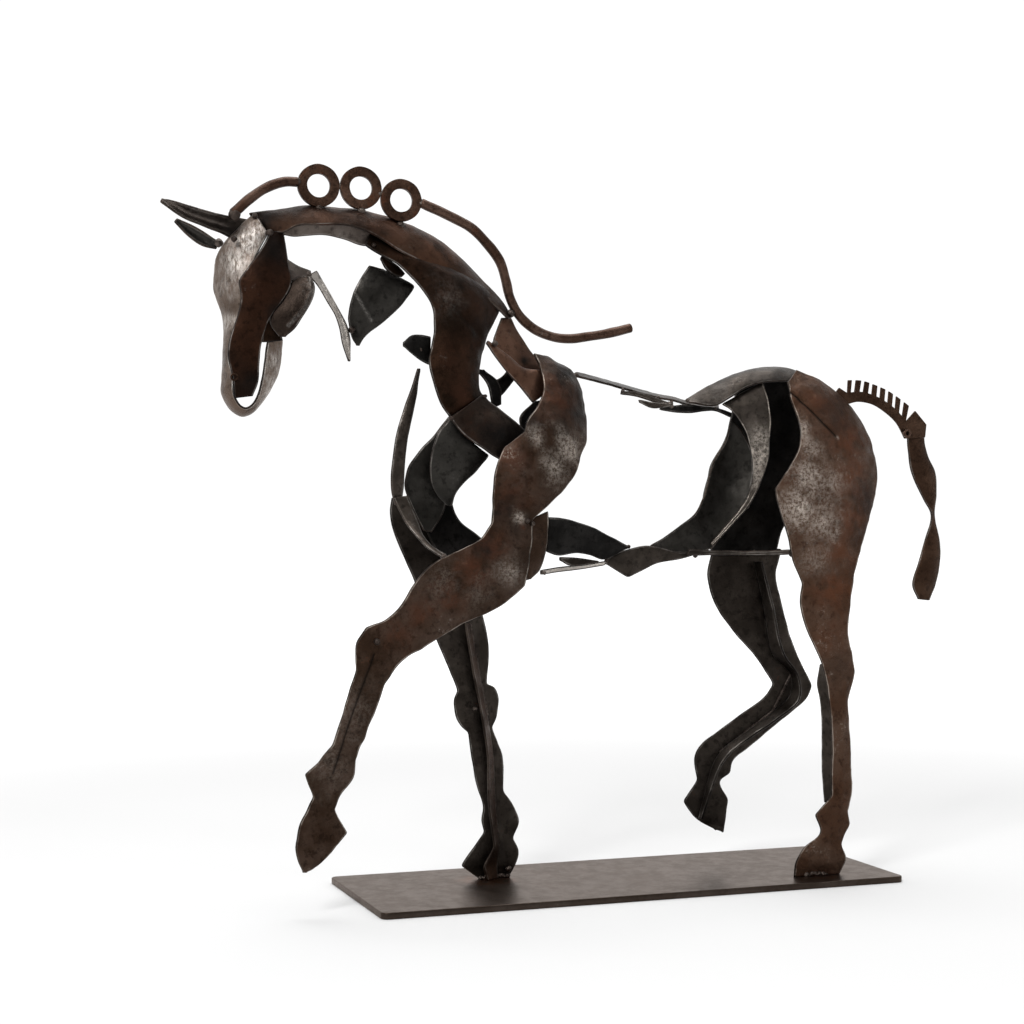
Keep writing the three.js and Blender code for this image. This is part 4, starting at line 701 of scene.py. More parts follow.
# A finish is a material's name, its base and patina colours, its shares of bare metal and of rust,
# its roughness, its grit and how much its edges are rubbed
FINISH = {
    # Near black: painted shade on the scraps deep inside and under the body
    "black": steel("shaded_black_sheet", (0.0095, 0.009, 0.0085), (0.020, 0.0185, 0.0175),
                   0.1, 0.0, (0.40, 0.56), 0.25, 0.4),
    "far_leg": steel("far_leg_sheet", (0.026, 0.021, 0.0175), (0.046, 0.038, 0.032),
                     0.15, 0.1, (0.36, 0.52), 0.35, 0.6),
    "green_black": steel("green_black_sheet", (0.023, 0.0212, 0.0188), (0.038, 0.0352, 0.0318),
                         0.15, 0.0, (0.34, 0.50), 0.25, 0.5),
    "cheek": steel("cheek_brown_sheet", (0.015, 0.0085, 0.006), (0.030, 0.014, 0.0085),
                   0.1, 0.1, (0.38, 0.52), 0.35, 0.6, rust=DULL_RUST),
    "neck": steel("neck_brown_sheet", (0.0125, 0.0075, 0.005), (0.028, 0.0145, 0.009),
                  0.12, 0.15, (0.40, 0.55), 0.45, 0.5, rust=DULL_RUST),
    "disc": steel("disc_sheet", (0.024, 0.017, 0.0135), (0.042, 0.031, 0.025),
                  0.15, 0.1, (0.36, 0.50), 0.35, 0.7, rust=DULL_RUST),
    "crest": steel("crest_sheet", (0.028, 0.0145, 0.009), (0.052, 0.029, 0.019),
                   0.15, 0.2, (0.40, 0.54), 0.5, 0.5, rust=(0.085, 0.042, 0.026)),
    "brown": steel("brown_sheet", (0.036, 0.020, 0.013), (0.056, 0.032, 0.021),
                   0.15, 0.15, (0.36, 0.52), 0.45, 0.5, rust=DULL_RUST),
    "rose": steel("rose_brown_sheet", (0.095, 0.050, 0.033), (0.125, 0.070, 0.048),
                  0.2, 0.1, (0.38, 0.54), 0.4, 0.5),
    "shoulder": steel("shoulder_sheet_steel", (0.032, 0.0185, 0.012), (0.062, 0.041, 0.031),
                      0.2, 0.12, (0.34, 0.52), 0.7, 0.45, bare_and_sheen=PALE),
    "haunch": steel("haunch_sheet_steel", (0.060, 0.031, 0.019), (0.086, 0.052, 0.036),
                    0.25, 0.2, (0.36, 0.54), 0.8, 0.45, bare_and_sheen=PALE, rust=(0.10, 0.040, 0.021)),
    "ribbon": steel("ribbon_grey_sheet", (0.034, 0.028, 0.0235), (0.060, 0.049, 0.041),
                    0.3, 0.0, (0.32, 0.48), 0.35, 0.7),
    # The nose's near-white bare colour is mostly its painted forehead highlight
    "nose": steel("nose_satin_sheet", (0.115, 0.082, 0.063), (0.18, 0.138, 0.112),
                  0.25, 0.0, (0.30, 0.44), 0.6, 0.6, bare_and_sheen=(1.0, 0.95, 0.89), streak=(1.0, 1.0, 0.35)),
    "strip": steel("pale_strip_sheet", (0.34, 0.31, 0.28), (0.52, 0.48, 0.44),
                   0.35, 0.0, (0.32, 0.46), 0.3, 0.5),
    "lining": steel("lining_sheet", (0.070, 0.056, 0.048), (0.115, 0.095, 0.083),
                    0.3, 0.0, (0.34, 0.48), 0.3, 0.5),
    "crescent": steel("crescent_sheet", (0.036, 0.030, 0.025), (0.066, 0.055, 0.047),
                      0.3, 0.0, (0.32, 0.46), 0.5, 0.8, bare_and_sheen=PALE),
    "base": steel("base_steel", (0.046, 0.034, 0.027), (0.060, 0.046, 0.038),
                  0.1, 0.1, (0.34, 0.42), 0.08, 0.3, tint=(1.0, 0.93, 0.885), pits=0.3),
    "rod": steel("rod_steel", (0.052, 0.028, 0.019), (0.095, 0.057, 0.042),
                 0.25, 0.2, (0.34, 0.50), 0.5, 0.0),
    "washer": steel("washer_steel", (0.036, 0.020, 0.0135), (0.074, 0.042, 0.029),
                    0.12, 0.3, (0.34, 0.52), 0.9, 0.6),
}
CUT_EDGE = steel("cut_edge", (0.022, 0.016, 0.013), (0.065, 0.050, 0.041),
                 0.45, 0.1, (0.34, 0.5), 0.4, 0.0)
DARK_EDGE = steel("dark_cut_edge", (0.013, 0.011, 0.010), (0.042, 0.036, 0.031),
                  0.35, 0.0, (0.34, 0.5), 0.4, 0.0)
WELD = steel("weld_metal", (0.045, 0.034, 0.029), (0.11, 0.09, 0.078),
             0.35, 0.15, (0.3, 0.46), 0.6, 0.0)


def stain(material, spots, colour):
    """Ragged spots of a colour around x, y, z, reach places in millimetres."""
    tree = material.node_tree
    shader = tree.nodes["Principled BSDF"]
    coords = tree.nodes.new("ShaderNodeTexCoord").outputs["Object"]
    ragged = noise_node(tree, coords, 160, 5, 0.7)
    for x, y, z, reach in spots:
        away = tree.nodes.new("ShaderNodeVectorMath")
        away.operation = "DISTANCE"
        link(tree, coords, away.inputs[0])
        away.inputs[1].default_value = (x * MM, y * MM, z * MM)
        near = ramp(tree, away.outputs["Value"], 0.4 * reach * MM, reach * MM, 1.0, 0.0)
        amount = arithmetic(tree, "MULTIPLY", near, ramp(tree, ragged, 0.38, 0.56))
        before = shader.inputs["Base Color"].links[0].from_socket
        link(tree, blend(tree, amount, before, colour), shader.inputs["Base Color"])


stain(FINISH["base"], [(-84, 16, PLATE_TOP, 22), (-72, 12, PLATE_TOP, 13), (120, -42, PLATE_TOP, 14)],
      (0.085, 0.038, 0.020))


# How each scrap is finished: its colour, its slot, how deep its broad dents are, how deep the hammer
# marks are and how wide, and how far its edges waver
LOOKS = {
    "nose_plate": ("nose", "bright_sheet", 0.45, 0.2, 6.0, 0.25),
    "cheek_plate": ("cheek", "brown_sheet", 0.5, 0.15, 7.0, 0.25),
    "cheek_disc": ("disc", "brown_sheet", 0.3, 0.12, 7.0, 0.2),
    "jaw_bar": ("lining", "grey_sheet", 0.2, 0.1, 6.0, 0.2),
    "throat_triangle": ("neck", "grey_sheet", 0.2, 0.1, 6.0, 0.1),
    "near_ear": ("lining", "brown_sheet", 0.4, 0.15, 6.0, 0.25),
    "far_ear": ("green_black", "grey_sheet", 0.3, 0.15, 6.0, 0.25),
    "throat_strip": ("strip", "bright_sheet", 0.2, 0.1, 6.0, 0.15),
    "throat_plate": ("green_black", "grey_sheet", 0.5, 0.15, 7.0, 0.3),
    "crest_band": ("crest", "brown_sheet", 0.6, 0.2, 7.0, 0.3),
    "crest_lining": ("lining", "bright_sheet", 0.3, 0.15, 6.0, 0.3),
    "crest_scrap": ("neck", "grey_sheet", 0.3, 0.15, 6.0, 0.3),
    "neck_leaf": ("black", "grey_sheet", 0.3, 0.15, 6.0, 0.2),
    "neck_sheet": ("neck", "dark_sheet", 0.9, 0.25, 8.0, 0.4),
    "neck_base_band": ("disc", "dark_sheet", 0.8, 0.2, 7.0, 0.3),
    "wither_plate": ("rose", "brown_sheet", 0.4, 0.15, 7.0, 0.3),
    "wither_flap": ("rose", "brown_sheet", 0.4, 0.15, 7.0, 0.25),
    "near_foreleg": ("shoulder", "brown_sheet", 1.0, 0.5, 8.0, 0.6),
    "elbow_plate": ("shoulder", "grey_sheet", 0.4, 0.2, 6.0, 0.3),
    "near_hind_leg": ("haunch", "grey_sheet", 1.0, 0.35, 7.0, 0.35),
    "belly_strip": ("strip", "bright_sheet", 0.2, 0.1, 6.0, 0.2),
    "chest_leaf": ("ribbon", "bright_sheet", 0.2, 0.1, 6.0, 0.2),
    "chest_blade": ("ribbon", "grey_sheet", 0.3, 0.12, 7.0, 0.2),
    "tail_leaf": ("brown", "brown_sheet", 0.3, 0.12, 7.0, 0.2),
    "croup_ribbon": ("ribbon", "grey_sheet", 0.4, 0.15, 7.0, 0.25),
    "flank_crescent": ("crescent", "grey_sheet", 0.4, 0.15, 7.0, 0.25),
    "far_foreleg_fin": ("brown", "dark_sheet", 0.3, 0.12, 6.0, 0.25),
    "far_hind_fin": ("far_leg", "dark_sheet", 0.3, 0.12, 6.0, 0.25),
}
SHARED_LOOKS = [
    # The inner, far and under-belly scraps are near black: painted shade
    (("black", "dark_sheet", 0.5, 0.15, 7.0, 0.3),
     ["inner_band", "inner_arm", "inner_strap", "far_haunch", "far_shoulder", "belly_panel",
      "back_under_strip"]),
    (("far_leg", "dark_sheet", 0.4, 0.15, 7.0, 0.3), ["far_hind_leg", "far_foreleg"]),
    (("green_black", "dark_sheet", 0.5, 0.15, 7.0, 0.3), ["chest_band", "chest_inner_band", "flank_ribbon"]),
]
for look, names in SHARED_LOOKS:
    LOOKS.update((name, look) for name in names)
OTHER_LOOK = ("ribbon", "grey_sheet", 0.3, 0.15, 7.0, 0.25)
DARK_EDGED = ["black", "far_leg", "neck", "cheek"]

# Creases and ridges: a line of x, z corners, how deep the crease is (a ridge is above 0), and how wide
CREASES = {
    "near_foreleg": [([(-89, 212.5), (-110.5, 198), (-141.5, 177.5)], 0.7, 4.0),
                     ([(-70.5, 272.5), (-73, 248.5), (-78, 230.5)], -0.8, 3.0),
                     ([(-201.5, 60), (-203, 40), (-207, 24)], 0.5, 2.0)],
    "near_hind_leg": [([(140, 120), (137, 92), (137, 50)], 0.5, 2.0)],
    "nose_plate": [([(-237.5, 399), (-244, 375.5), (-249.5, 353)], 0.5, 3.0)],
    "cheek_disc": [([(-202, 366.5), (-201.5, 358), (-206.5, 347.5), (-215.5, 337.5)], 0.7, 1.0)],
    "neck_sheet": [([(-125.5, 361.5), (-111, 350), (-107, 344.5), (-98.5, 336.5)], -1.2, 2.4)],
    "throat_plate": [([(-172.5, 360.5), (-167.5, 352.5), (-162, 343.5)], 0.6, 1.0)],
    "near_ear": [([(-286, 408.5), (-271.5, 401.5), (-257, 398), (-242.5, 396)], -1.2, 2.2)],
}
# Slits and seam lines, painted dark as painted shade in them over a shallow groove: a line of x, z corners,
# its half width and its strength
SEAMS = {
    "near_foreleg": [([(-169, 146), (-183.5, 107.5), (-193.5, 78)], 1.0, 0.85)],
    "near_hind_leg": [([(107, 307.5), (135.5, 277)], 1.0, 1.0)],
}
FINE_CELL = 0.8             # the scraps with a seam have a finer mesh
SEAM_DEPTH = 0.5
# The bright line along a narrow crease is a painted highlight
SHARP_CREASE = 1.2          # a narrower crease than this has a bright line along it
HIGHLIGHT_LINE_WIDTH = 0.6
DENT_WAVE = 22.0            # how wide the broad dents are
RIPPLE_WAVE, RIPPLE = 5.0, 0.16
PRICKLE_WAVE, PRICKLE = 2.6, 0.05
FULL_RELIEF_WIDTH = 14.0    # narrower scraps than this have shallower relief

# Patina and painted light: spots of x, z, reach and strength, for bare metal with painted highlights, for
# rust and for painted shade
BARE_AND_SHEEN_SPOTS = {
    "near_foreleg": [(-46, 265, 7, 0.95), (-50, 273, 6, 0.6), (-56, 256, 9, 0.5), (-69, 274, 5, 0.5),
                     (-87, 193.5, 8, 0.35), (-129.5, 187.5, 10, 0.12), (-106, 180, 9, 0.12),
                     (-184, 112, 16, 0.12), (-196, 84, 14, 0.12), (-80, 225, 3, 0.7)],
    "near_hind_leg": [(111.5, 251, 9, 1.0), (106, 230.5, 11, 1.0), (111, 280, 7, 0.7), (120, 224, 12, 0.6),
                      (118, 199, 10, 0.3), (124, 245, 13, 0.45), (117, 268, 8, 0.5), (136.5, 276, 1.2, 1.0)],
    "nose_plate": [(-235.5, 386, 9, 1.0), (-244, 375, 8, 0.95), (-232, 393, 6, 0.9), (-247, 362, 6, 0.5),
                   (-247, 340, 5, 0.7), (-240, 368, 6, 0.6), (-222.5, 318, 8, 0.5), (-224, 302, 8, 0.5)],
    "flank_crescent": [(87.5, 263.5, 11, 1.0), (86, 252, 9, 0.8), (90, 275, 8, 0.6)],
    "croup_ribbon": [(65.5, 303.5, 9, 0.2), (93.5, 317, 9, 0.1)],
    "neck_sheet": [(-118, 357, 9, 0.3)],
    "near_ear": [(-270, 405, 9, 0.5), (-257, 401, 6, 0.4)],
}
RUST_SPOTS = {
    "near_foreleg": [(-53.5, 299.5, 14, 0.7), (-85.5, 262, 12, 0.6), (-86, 240, 12, 0.5), (-98, 208, 9, 0.8),
                     (-110, 195, 9, 0.9), (-124, 180, 9, 0.9), (-140, 169, 9, 0.8), (-156, 157, 8, 0.6)],
    "near_hind_leg": [(146, 275, 16, 0.9), (146, 250, 15, 1.0), (142, 225, 14, 0.9), (133, 205, 12, 0.9),
                      (131, 180, 14, 0.9), (128, 150, 12, 0.5), (128, 300, 12, 0.7)],
    "cheek_plate": [(-230, 360, 10, 0.6), (-237, 325, 9, 0.4)],
    "neck_sheet": [(-110, 300, 12, 0.8), (-113, 322, 12, 0.5), (-100, 352, 10, 0.3)],
    "neck_base_band": [(-102, 280, 10, 0.6)],
    "crest_band": [(-150, 399, 18, 0.6), (-120, 386, 18, 1.0), (-190, 404, 14, 0.4)],
}
# Painted shade: dark patches where shade falls, in hollows, creases and notches and where scraps and rings
# overlap
SHADE_SPOTS = {
    "wither_flap": [(-68, 318.5, 3.5, 1.0)],
    "wither_plate": [(-66, 321.5, 4.5, 1.0)],
    "near_foreleg": [(-42, 313, 13, 0.9), (-34, 302, 9, 0.6), (-90, 228, 9, 0.8), (-82, 222, 10, 0.7),
                     (-69, 283, 7, 0.7), (-36, 290, 10, 0.6), (-65, 200, 10, 0.7), (-100, 207, 6, 0.8),
                     (-50, 283, 9, 0.6)],
    "croup_ribbon": [(78, 313, 24, 0.4)],
    "near_hind_leg": [(160, 237, 12, 0.7), (140, 290, 10, 0.5), (152, 215, 9, 0.5), (135, 130, 10, 0.4)],
    "neck_sheet": [(-100, 345, 8, 0.4)],
    "neck_base_band": [(-88, 275, 12, 1.0), (-76, 268, 10, 1.0)],
    "cheek_plate": [(-222, 382, 10, 0.8), (-236, 304, 7, 0.7), (-222, 345, 6, 0.6)],
    "crest_band": [(-226, 402, 9, 0.9), (-208, 407, 7, 0.6), (-172, 407, 16, 0.4)],
    "near_ear": [(-246, 394, 6, 0.7)],
    "nose_plate": [(-249, 318, 5, 0.5), (-244, 350, 5, 0.35)],
}


def finish_piece(piece, slot, *nodes):
    """Hangs the piece on the root and hides the solids it stands for; what it is made of, the slot, is not
    used.
    """
    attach(piece, ROOT)
    if nodes:
        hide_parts(*nodes)


def build_scrap(name, stations, seed):
    """One fine sheet with its dents, creases and hammer marks, in the place of its solid."""
    finish, slot, dents, marks, marks_wide, waver = LOOKS.get(name, OTHER_LOOK)
    middle = middle_surface(stations, FINE_CELL if name in SEAMS else CELL, waver, seed)
    normal = grid_normals(middle)
    bowls = hammered(middle, marks_wide, seed + 11)
    relief = lumps(middle, DENT_WAVE, seed) * dents + bowls * marks
    relief += (lumps(middle, RIPPLE_WAVE, seed + 3) * RIPPLE
               + lumps(middle, PRICKLE_WAVE, seed + 4) * PRICKLE)
    width = np.linalg.norm(middle[:, -1] - middle[:, 0], axis=-1)[:, None]
    relief *= np.clip(width / FULL_RELIEF_WIDTH, 0.25, 1.0)
    # The bright spots are bare metal with painted highlights, brighter on the lips of the hammer marks
    bare_and_sheen = patches(middle, BARE_AND_SHEEN_SPOTS.get(name, []), seed + 20) * (0.75 + 0.35 * bowls)
    toward = np.sign(-normal[..., 1].mean())
    for line, depth, wide in CREASES.get(name, []):
        away = near_line(middle, line)
        relief += toward * depth * np.exp(-(away / wide) ** 2)
        # A narrow ridge gets a painted highlight along its top
        if wide < SHARP_CREASE:
            bare_and_sheen = np.maximum(bare_and_sheen, 0.5 * np.exp(-(away / HIGHLIGHT_LINE_WIDTH) ** 2))
    # A slit's dark line is painted shade, over a shallow groove
    slit_shade = np.zeros(middle.shape[:2])
    for line, wide, strength in SEAMS.get(name, []):
        away = near_line(middle, line)
        slit_shade = np.maximum(slit_shade, strength * np.exp(-(away / wide) ** 2))
        relief -= toward * SEAM_DEPTH * np.exp(-(away / wide) ** 2)
    paints = {"slit_shade": slit_shade, "bare_and_sheen": bare_and_sheen,
              "rust": patches(middle, RUST_SPOTS.get(name, []), seed + 30),
              "painted_shade": patches(middle, SHADE_SPOTS.get(name, []), seed + 40)}
    middle = middle + normal * relief[..., None]
    middle[..., 2] += FEET
    if stations[-1][2] == 0:    # a foot on the plate doesn't sink into it
        low = middle[..., 2] < FEET + 2
        middle[..., 2][low] = np.maximum(middle[..., 2][low], FEET - 0.1)
    edge = DARK_EDGE if finish in DARK_EDGED else CUT_EDGE
    # The far haunch's edges are painted near black as well: painted shade
    if name == "far_haunch":    # its edges are black in the photograph
        edge = FINISH["black"]
    piece = sheet_object(name + "_sheet", middle, SHEET, (FINISH[finish], edge), paints)
    finish_piece(piece, slot, name)


seed = 1
for scraps in (HEAD_SCRAPS, NECK_SCRAPS, LEG_SCRAPS, LEG_FINS, BODY_SCRAPS):
    for name, stations in scraps.items():
        seed += 17
        build_scrap(name, stations, seed)


WASHER_ROUND = 0.45


def ring_object(name, centre, outer, bore, thickness, finish, seed, steps=72):
    """A washer that faces the near side, with rounded and slightly worn edges."""
    soft = WASHER_ROUND
    half = thickness / 2
    profile = []
    for radius, y, start in ((outer / 2 - soft, -half + soft, 270), (outer / 2 - soft, half - soft, 0),
                             (bore / 2 + soft, half - soft, 90), (bore / 2 + soft, -half + soft, 180)):
        for k in range(4):
            angle = math.radians(start + 30 * k)
            profile.append((radius + soft * math.cos(angle), y + soft * math.sin(angle)))
    turn = np.linspace(0, 2 * math.pi, steps, endpoint=False)
    points = np.array([[(centre[0] + r * math.cos(a), centre[1] + y, centre[2] + r * math.sin(a))
                        for r, y in profile] for a in turn])
    points += lumps(points, 5.0, seed)[..., None] * 0.18
    sides = len(profile)
    piece = new_object(name, points.reshape(-1, 3), tube_faces(steps, sides, closed=True), [FINISH[finish]])
    paint(piece, "wear", np.full(steps * sides, 0.4))
    return piece


ROD_STEP = 1.6
ROD_DOME = 0.35          # how far a rod's ends stand out, as a share of its radius


def rod_object(name, points, radius, seed, sides=18):
    """A round bar along a smooth line, with domed ends and small knocks."""
    points = np.array(points, float)
    lengths = np.linalg.norm(np.diff(points, axis=0), axis=1)
    segment, share = fine_steps([max(3, int(length / ROD_STEP)) for length in lengths])
    line = along_edge(points, [0] * len(points), segment, share)
    tangent = unit(np.gradient(line, axis=0))
    side = unit(np.cross(tangent, [0.0, 1.0, 0.0]))
    up = np.cross(side, tangent)
    rings = [(centre, s, u, radius) for centre, s, u in zip(line, side, up)]
    for end, direction in ((0, -1), (-1, 1)):
        for k in range(1, 4):
            angle = math.radians(28 * k)
            centre = line[end] + tangent[end] * direction * radius * ROD_DOME * math.sin(angle)
            ring = (centre, side[end], up[end], radius * math.cos(angle))
            rings.insert(0 if end == 0 else len(rings), ring)
    angles = np.linspace(0, 2 * math.pi, sides, endpoint=False)[:, None]
    grid = np.array([centre + (s * np.cos(angles) + u * np.sin(angles)) * r for centre, s, u, r in rings])
    middle = np.array([ring[0] for ring in rings])[:, None, :]
    grid += unit(grid - middle) * (lumps(grid, 6.0, seed) * 0.22)[..., None]
    count = len(grid)
    faces = tube_faces(count, sides)
    faces.append(tuple(range(sides))[::-1])
    faces.append(tuple((count - 1) * sides + j for j in range(sides)))
    piece = new_object(name, grid.reshape(-1, 3), faces, [FINISH["rod"]])
    paint(piece, "wear", np.full(count * sides, 0.2))
    return piece


# The mane's rings stand on the crest in a row, each a weld's gap from the one before
RING_OUTER = 25.6
RING_BORE = 14.0
RING_THICKNESS = 3.0
RING_SLOPES = (0, -13.5)
FIRST_RING_X = -194.0
CREST_TOP = 409.9
ring_centres = [np.array([FIRST_RING_X, MANE_PLANE, CREST_TOP + FEET + RING_OUTER / 2])]
for degrees in RING_SLOPES:
    angle = math.radians(degrees)
    step = np.array([math.cos(angle), 0, math.sin(angle)]) * (RING_OUTER + WELD_GAP)
    ring_centres.append(ring_centres[-1] + step)
for number, centre in enumerate(ring_centres, 1):
    ring = ring_object("mane_washer_%d" % number, centre, RING_OUTER, RING_BORE, RING_THICKNESS,
                       "washer", 300 + number)
    finish_piece(ring, "rod_steel", "mane_ring_%d" % number)

# The bars of the mane, which start and end at the rings
FRONT_ROD = [(-246, -9, 403), (-235, -7, 413), (-224, -5, 420.5), (-213.5, -4, 424)]
REAR_ROD = [(-114, -4, 409.5), (-98, -4, 402), (-87, -4, 392), (-79.5, -4, 382), (-76, -4, 371.5),
            (-73.5, -4, 361.5), (-68, -4, 351), (-60, -4, 343.5), (-49.5, -4, 338.5), (-37.5, -4, 336.5),
            (-20, -4, 338.5), (-6.5, -4, 341), (7, -4, 344.5)]
lift = np.array([0, 0, FEET])
reach = RING_OUTER / 2 + WELD_GAP
front_line = [np.array(p) + lift for p in FRONT_ROD] + [ring_centres[0] + np.array([-reach, 0, 1.5])]
rear_line = [ring_centres[2] + np.array([reach, 0, -1])] + [np.array(p) + lift for p in REAR_ROD]
finish_piece(rod_object("mane_bar_front", front_line, ROD_DIAMETER / 2, 401), "rod_steel", "mane_rod_front")
finish_piece(rod_object("mane_bar_rear", rear_line, ROD_DIAMETER / 2, 409), "rod_steel", "mane_rod_rear")


def spline_point(points, share):
    """A point of the smooth line through evenly counted points."""
    place = share * (len(points) - 1)
    i = min(int(place), len(points) - 2)
    w = place - i
    p = [np.array(points[k], float) for k in (max(i - 1, 0), i, i + 1, min(i + 2, len(points) - 1))]
    v0, v1 = (p[2] - p[0]) / 2, (p[3] - p[1]) / 2
    return ((2 * p[1] - 2 * p[2] + v0 + v1) * w**3
            + (-3 * p[1] + 3 * p[2] - 2 * v0 - v1) * w**2 + v0 * w + p[1])


# The tail's comb: x, z points of its lower edge and of its teeth's tips, its solid end and its hook
COMB_ROOT = [(155, 298.5), (163.5, 300.5), (174, 299), (183.5, 294), (192, 287), (198, 277)]
COMB_TIPS = [(156, 314.5), (166, 314.5), (175.5, 312), (185, 308.5), (194, 303.5), (203, 297.5)]
COMB_BLOCK = [(213.5, 278), (214.5, 286.5), (206, 295.5)]
COMB_HOOK = [(149.5, 309.5), (147.5, 307)]
COMB_TEETH = 8
COMB_TOOTH_SHARE = 0.58
COMB_GAP_DEPTH = 0.48
COMB_BEVEL = 0.4


def comb_outline():
    """The comb's outline: its lower edge, its solid end, and its teeth back to the hook."""
    def notch(share):
        root, tip = spline_point(COMB_ROOT, share), spline_point(COMB_TIPS, share)
        return root + (tip - root) * COMB_GAP_DEPTH
    outline = [spline_point(COMB_ROOT, i / 36) for i in range(37)] + COMB_BLOCK
    for tooth in range(COMB_TEETH - 1, -1, -1):
        start, end = tooth / COMB_TEETH, (tooth + COMB_TOOTH_SHARE) / COMB_TEETH
        outline += [notch(end), spline_point(COMB_TIPS, end), spline_point(COMB_TIPS, start), notch(start)]
    return outline + COMB_HOOK


def flat_plate(name, outline, y_front, y_back, bevel, finish):
    """A plate cut along an outline in the XZ plane, with soft edges."""
    count = len(outline)
    vertices = [(x, y_front, z) for x, z in outline] + [(x, y_back, z) for x, z in outline]
    faces = [tuple(range(count)), tuple(range(2 * count - 1, count - 1, -1))]
    faces += [(i, i + count, (i + 1) % count + count, (i + 1) % count) for i in range(count)]
    piece = new_object(name, np.array(vertices, float), faces, [FINISH[finish]])
    soften = piece.modifiers.new("soft_edges", "BEVEL")
    soften.width = bevel * MM
    soften.segments = 3
    soften.limit_method = "ANGLE"
    soften.angle_limit = math.radians(35)
    return piece


comb = flat_plate("tail_comb_sheet", [(x, z + FEET) for x, z in comb_outline()],
                  TAIL_PLANE - SHEET / 2, TAIL_PLANE + SHEET / 2, COMB_BEVEL, "brown")
finish_piece(comb, "grey_sheet", "tail_comb")
# The washer on the comb's end, and the small ring of the nostril
nut_centre = np.array([198.5, TAIL_PLANE - SHEET / 2 - WELD_GAP - 1.2, 280.5 + FEET])
nut = ring_object("tail_washer", nut_centre, 5.6, 2.6, 2.4, "rod", 510, 28)
finish_piece(nut, "rod_steel", "tail_nut")
nostril_centre = np.array([-246.5, -13.6, 307.2 + FEET])
nostril = ring_object("nostril_ring", nostril_centre, 4.8, 2.8, 2.6, "brown", 511, 32)
finish_piece(nostril, "brown_sheet")


BASE_CORNER = 4.5
BASE_ROUND = 0.6


def base_object():
    """The base: a flat plate with round corners and a soft rolled edge."""
    low, high = (np.array(corner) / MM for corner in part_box("base_plate"))
    outline = []
    for cx, cy, start in ((high[0], high[1], 0), (low[0], high[1], 90), (low[0], low[1], 180),
                          (high[0], low[1], 270)):
        cx -= math.copysign(BASE_CORNER, cx)
        cy -= math.copysign(BASE_CORNER, cy)
        for k in range(9):
            angle = math.radians(start + 90 * k / 8)
            outline.append((cx + BASE_CORNER * math.cos(angle), cy + BASE_CORNER * math.sin(angle)))
    outline = np.array(outline)
    outward = unit(np.roll(outline, -1, axis=0) - np.roll(outline, 1, axis=0)) @ np.array([[0, -1], [1, 0]])
    layers = []
    for inset, z in ((BASE_ROUND, low[2]), (0.15, low[2] + 0.2), (0, low[2] + BASE_ROUND),
                     (0, high[2] - BASE_ROUND), (0.15, high[2] - 0.2), (BASE_ROUND, high[2])):
        layers.append(np.column_stack([outline - outward * inset, np.full(len(outline), z)]))
    count = len(outline)
    vertices = np.vstack(layers)
    faces = [tuple(range(count))[::-1], tuple(range(len(vertices) - count, len(vertices)))]
    faces += tube_faces(len(layers), count)
    piece = new_object("base_plate_steel", vertices, faces, [FINISH["base"]])
    for polygon in piece.data.polygons:
        if len(polygon.vertices) > 4:
            polygon.use_smooth = False
    finish_piece(piece, "base_steel", "base_plate")


base_object()


def small_ball(levels):
    """The points and faces of a ball of radius 1."""
    ball = bmesh.new()
    bmesh.ops.create_icosphere(ball, subdivisions=levels, radius=1.0)
    points = np.array([v.co[:] for v in ball.verts])
    faces = np.array([[v.index for v in face.verts] for face in ball.faces])
    ball.free()
    return points, faces


def weld_object(name, spots, seed):
    """Weld beads of overlapping drops: x, y, z and radius, or two places and the row's radius."""
    points, faces = [], []
    count = 0
    for spot in spots:
        radius = spot[-1]
        start, end = (np.array(p, float) for p in (spot[:2] if len(spot) == 3 else (spot[:3], spot[:3])))
        drops = max(1, int(np.linalg.norm(end - start) / (radius * 0.8)) + 1)
        ball, ball_faces = small_ball(2 if radius < 1.0 else 3)
        for k in range(drops):
            place = start + (end - start) * k / max(1, drops - 1)
            jitter = np.array([lattice(np.array([count, k, m]), seed) for m in range(3)])
            uneven = 1 + 0.2 * lumps(ball + count, 0.7, seed)[:, None]
            drop = ball * uneven * radius * (1 + 0.25 * jitter[0]) + place + jitter * radius * 0.25
            faces += (ball_faces + sum(len(p) for p in points)).tolist()
            points.append(drop + np.array([0, 0, FEET]))
            count += 1
    finish_piece(new_object(name, np.vstack(points), faces, [WELD]), "rod_steel")


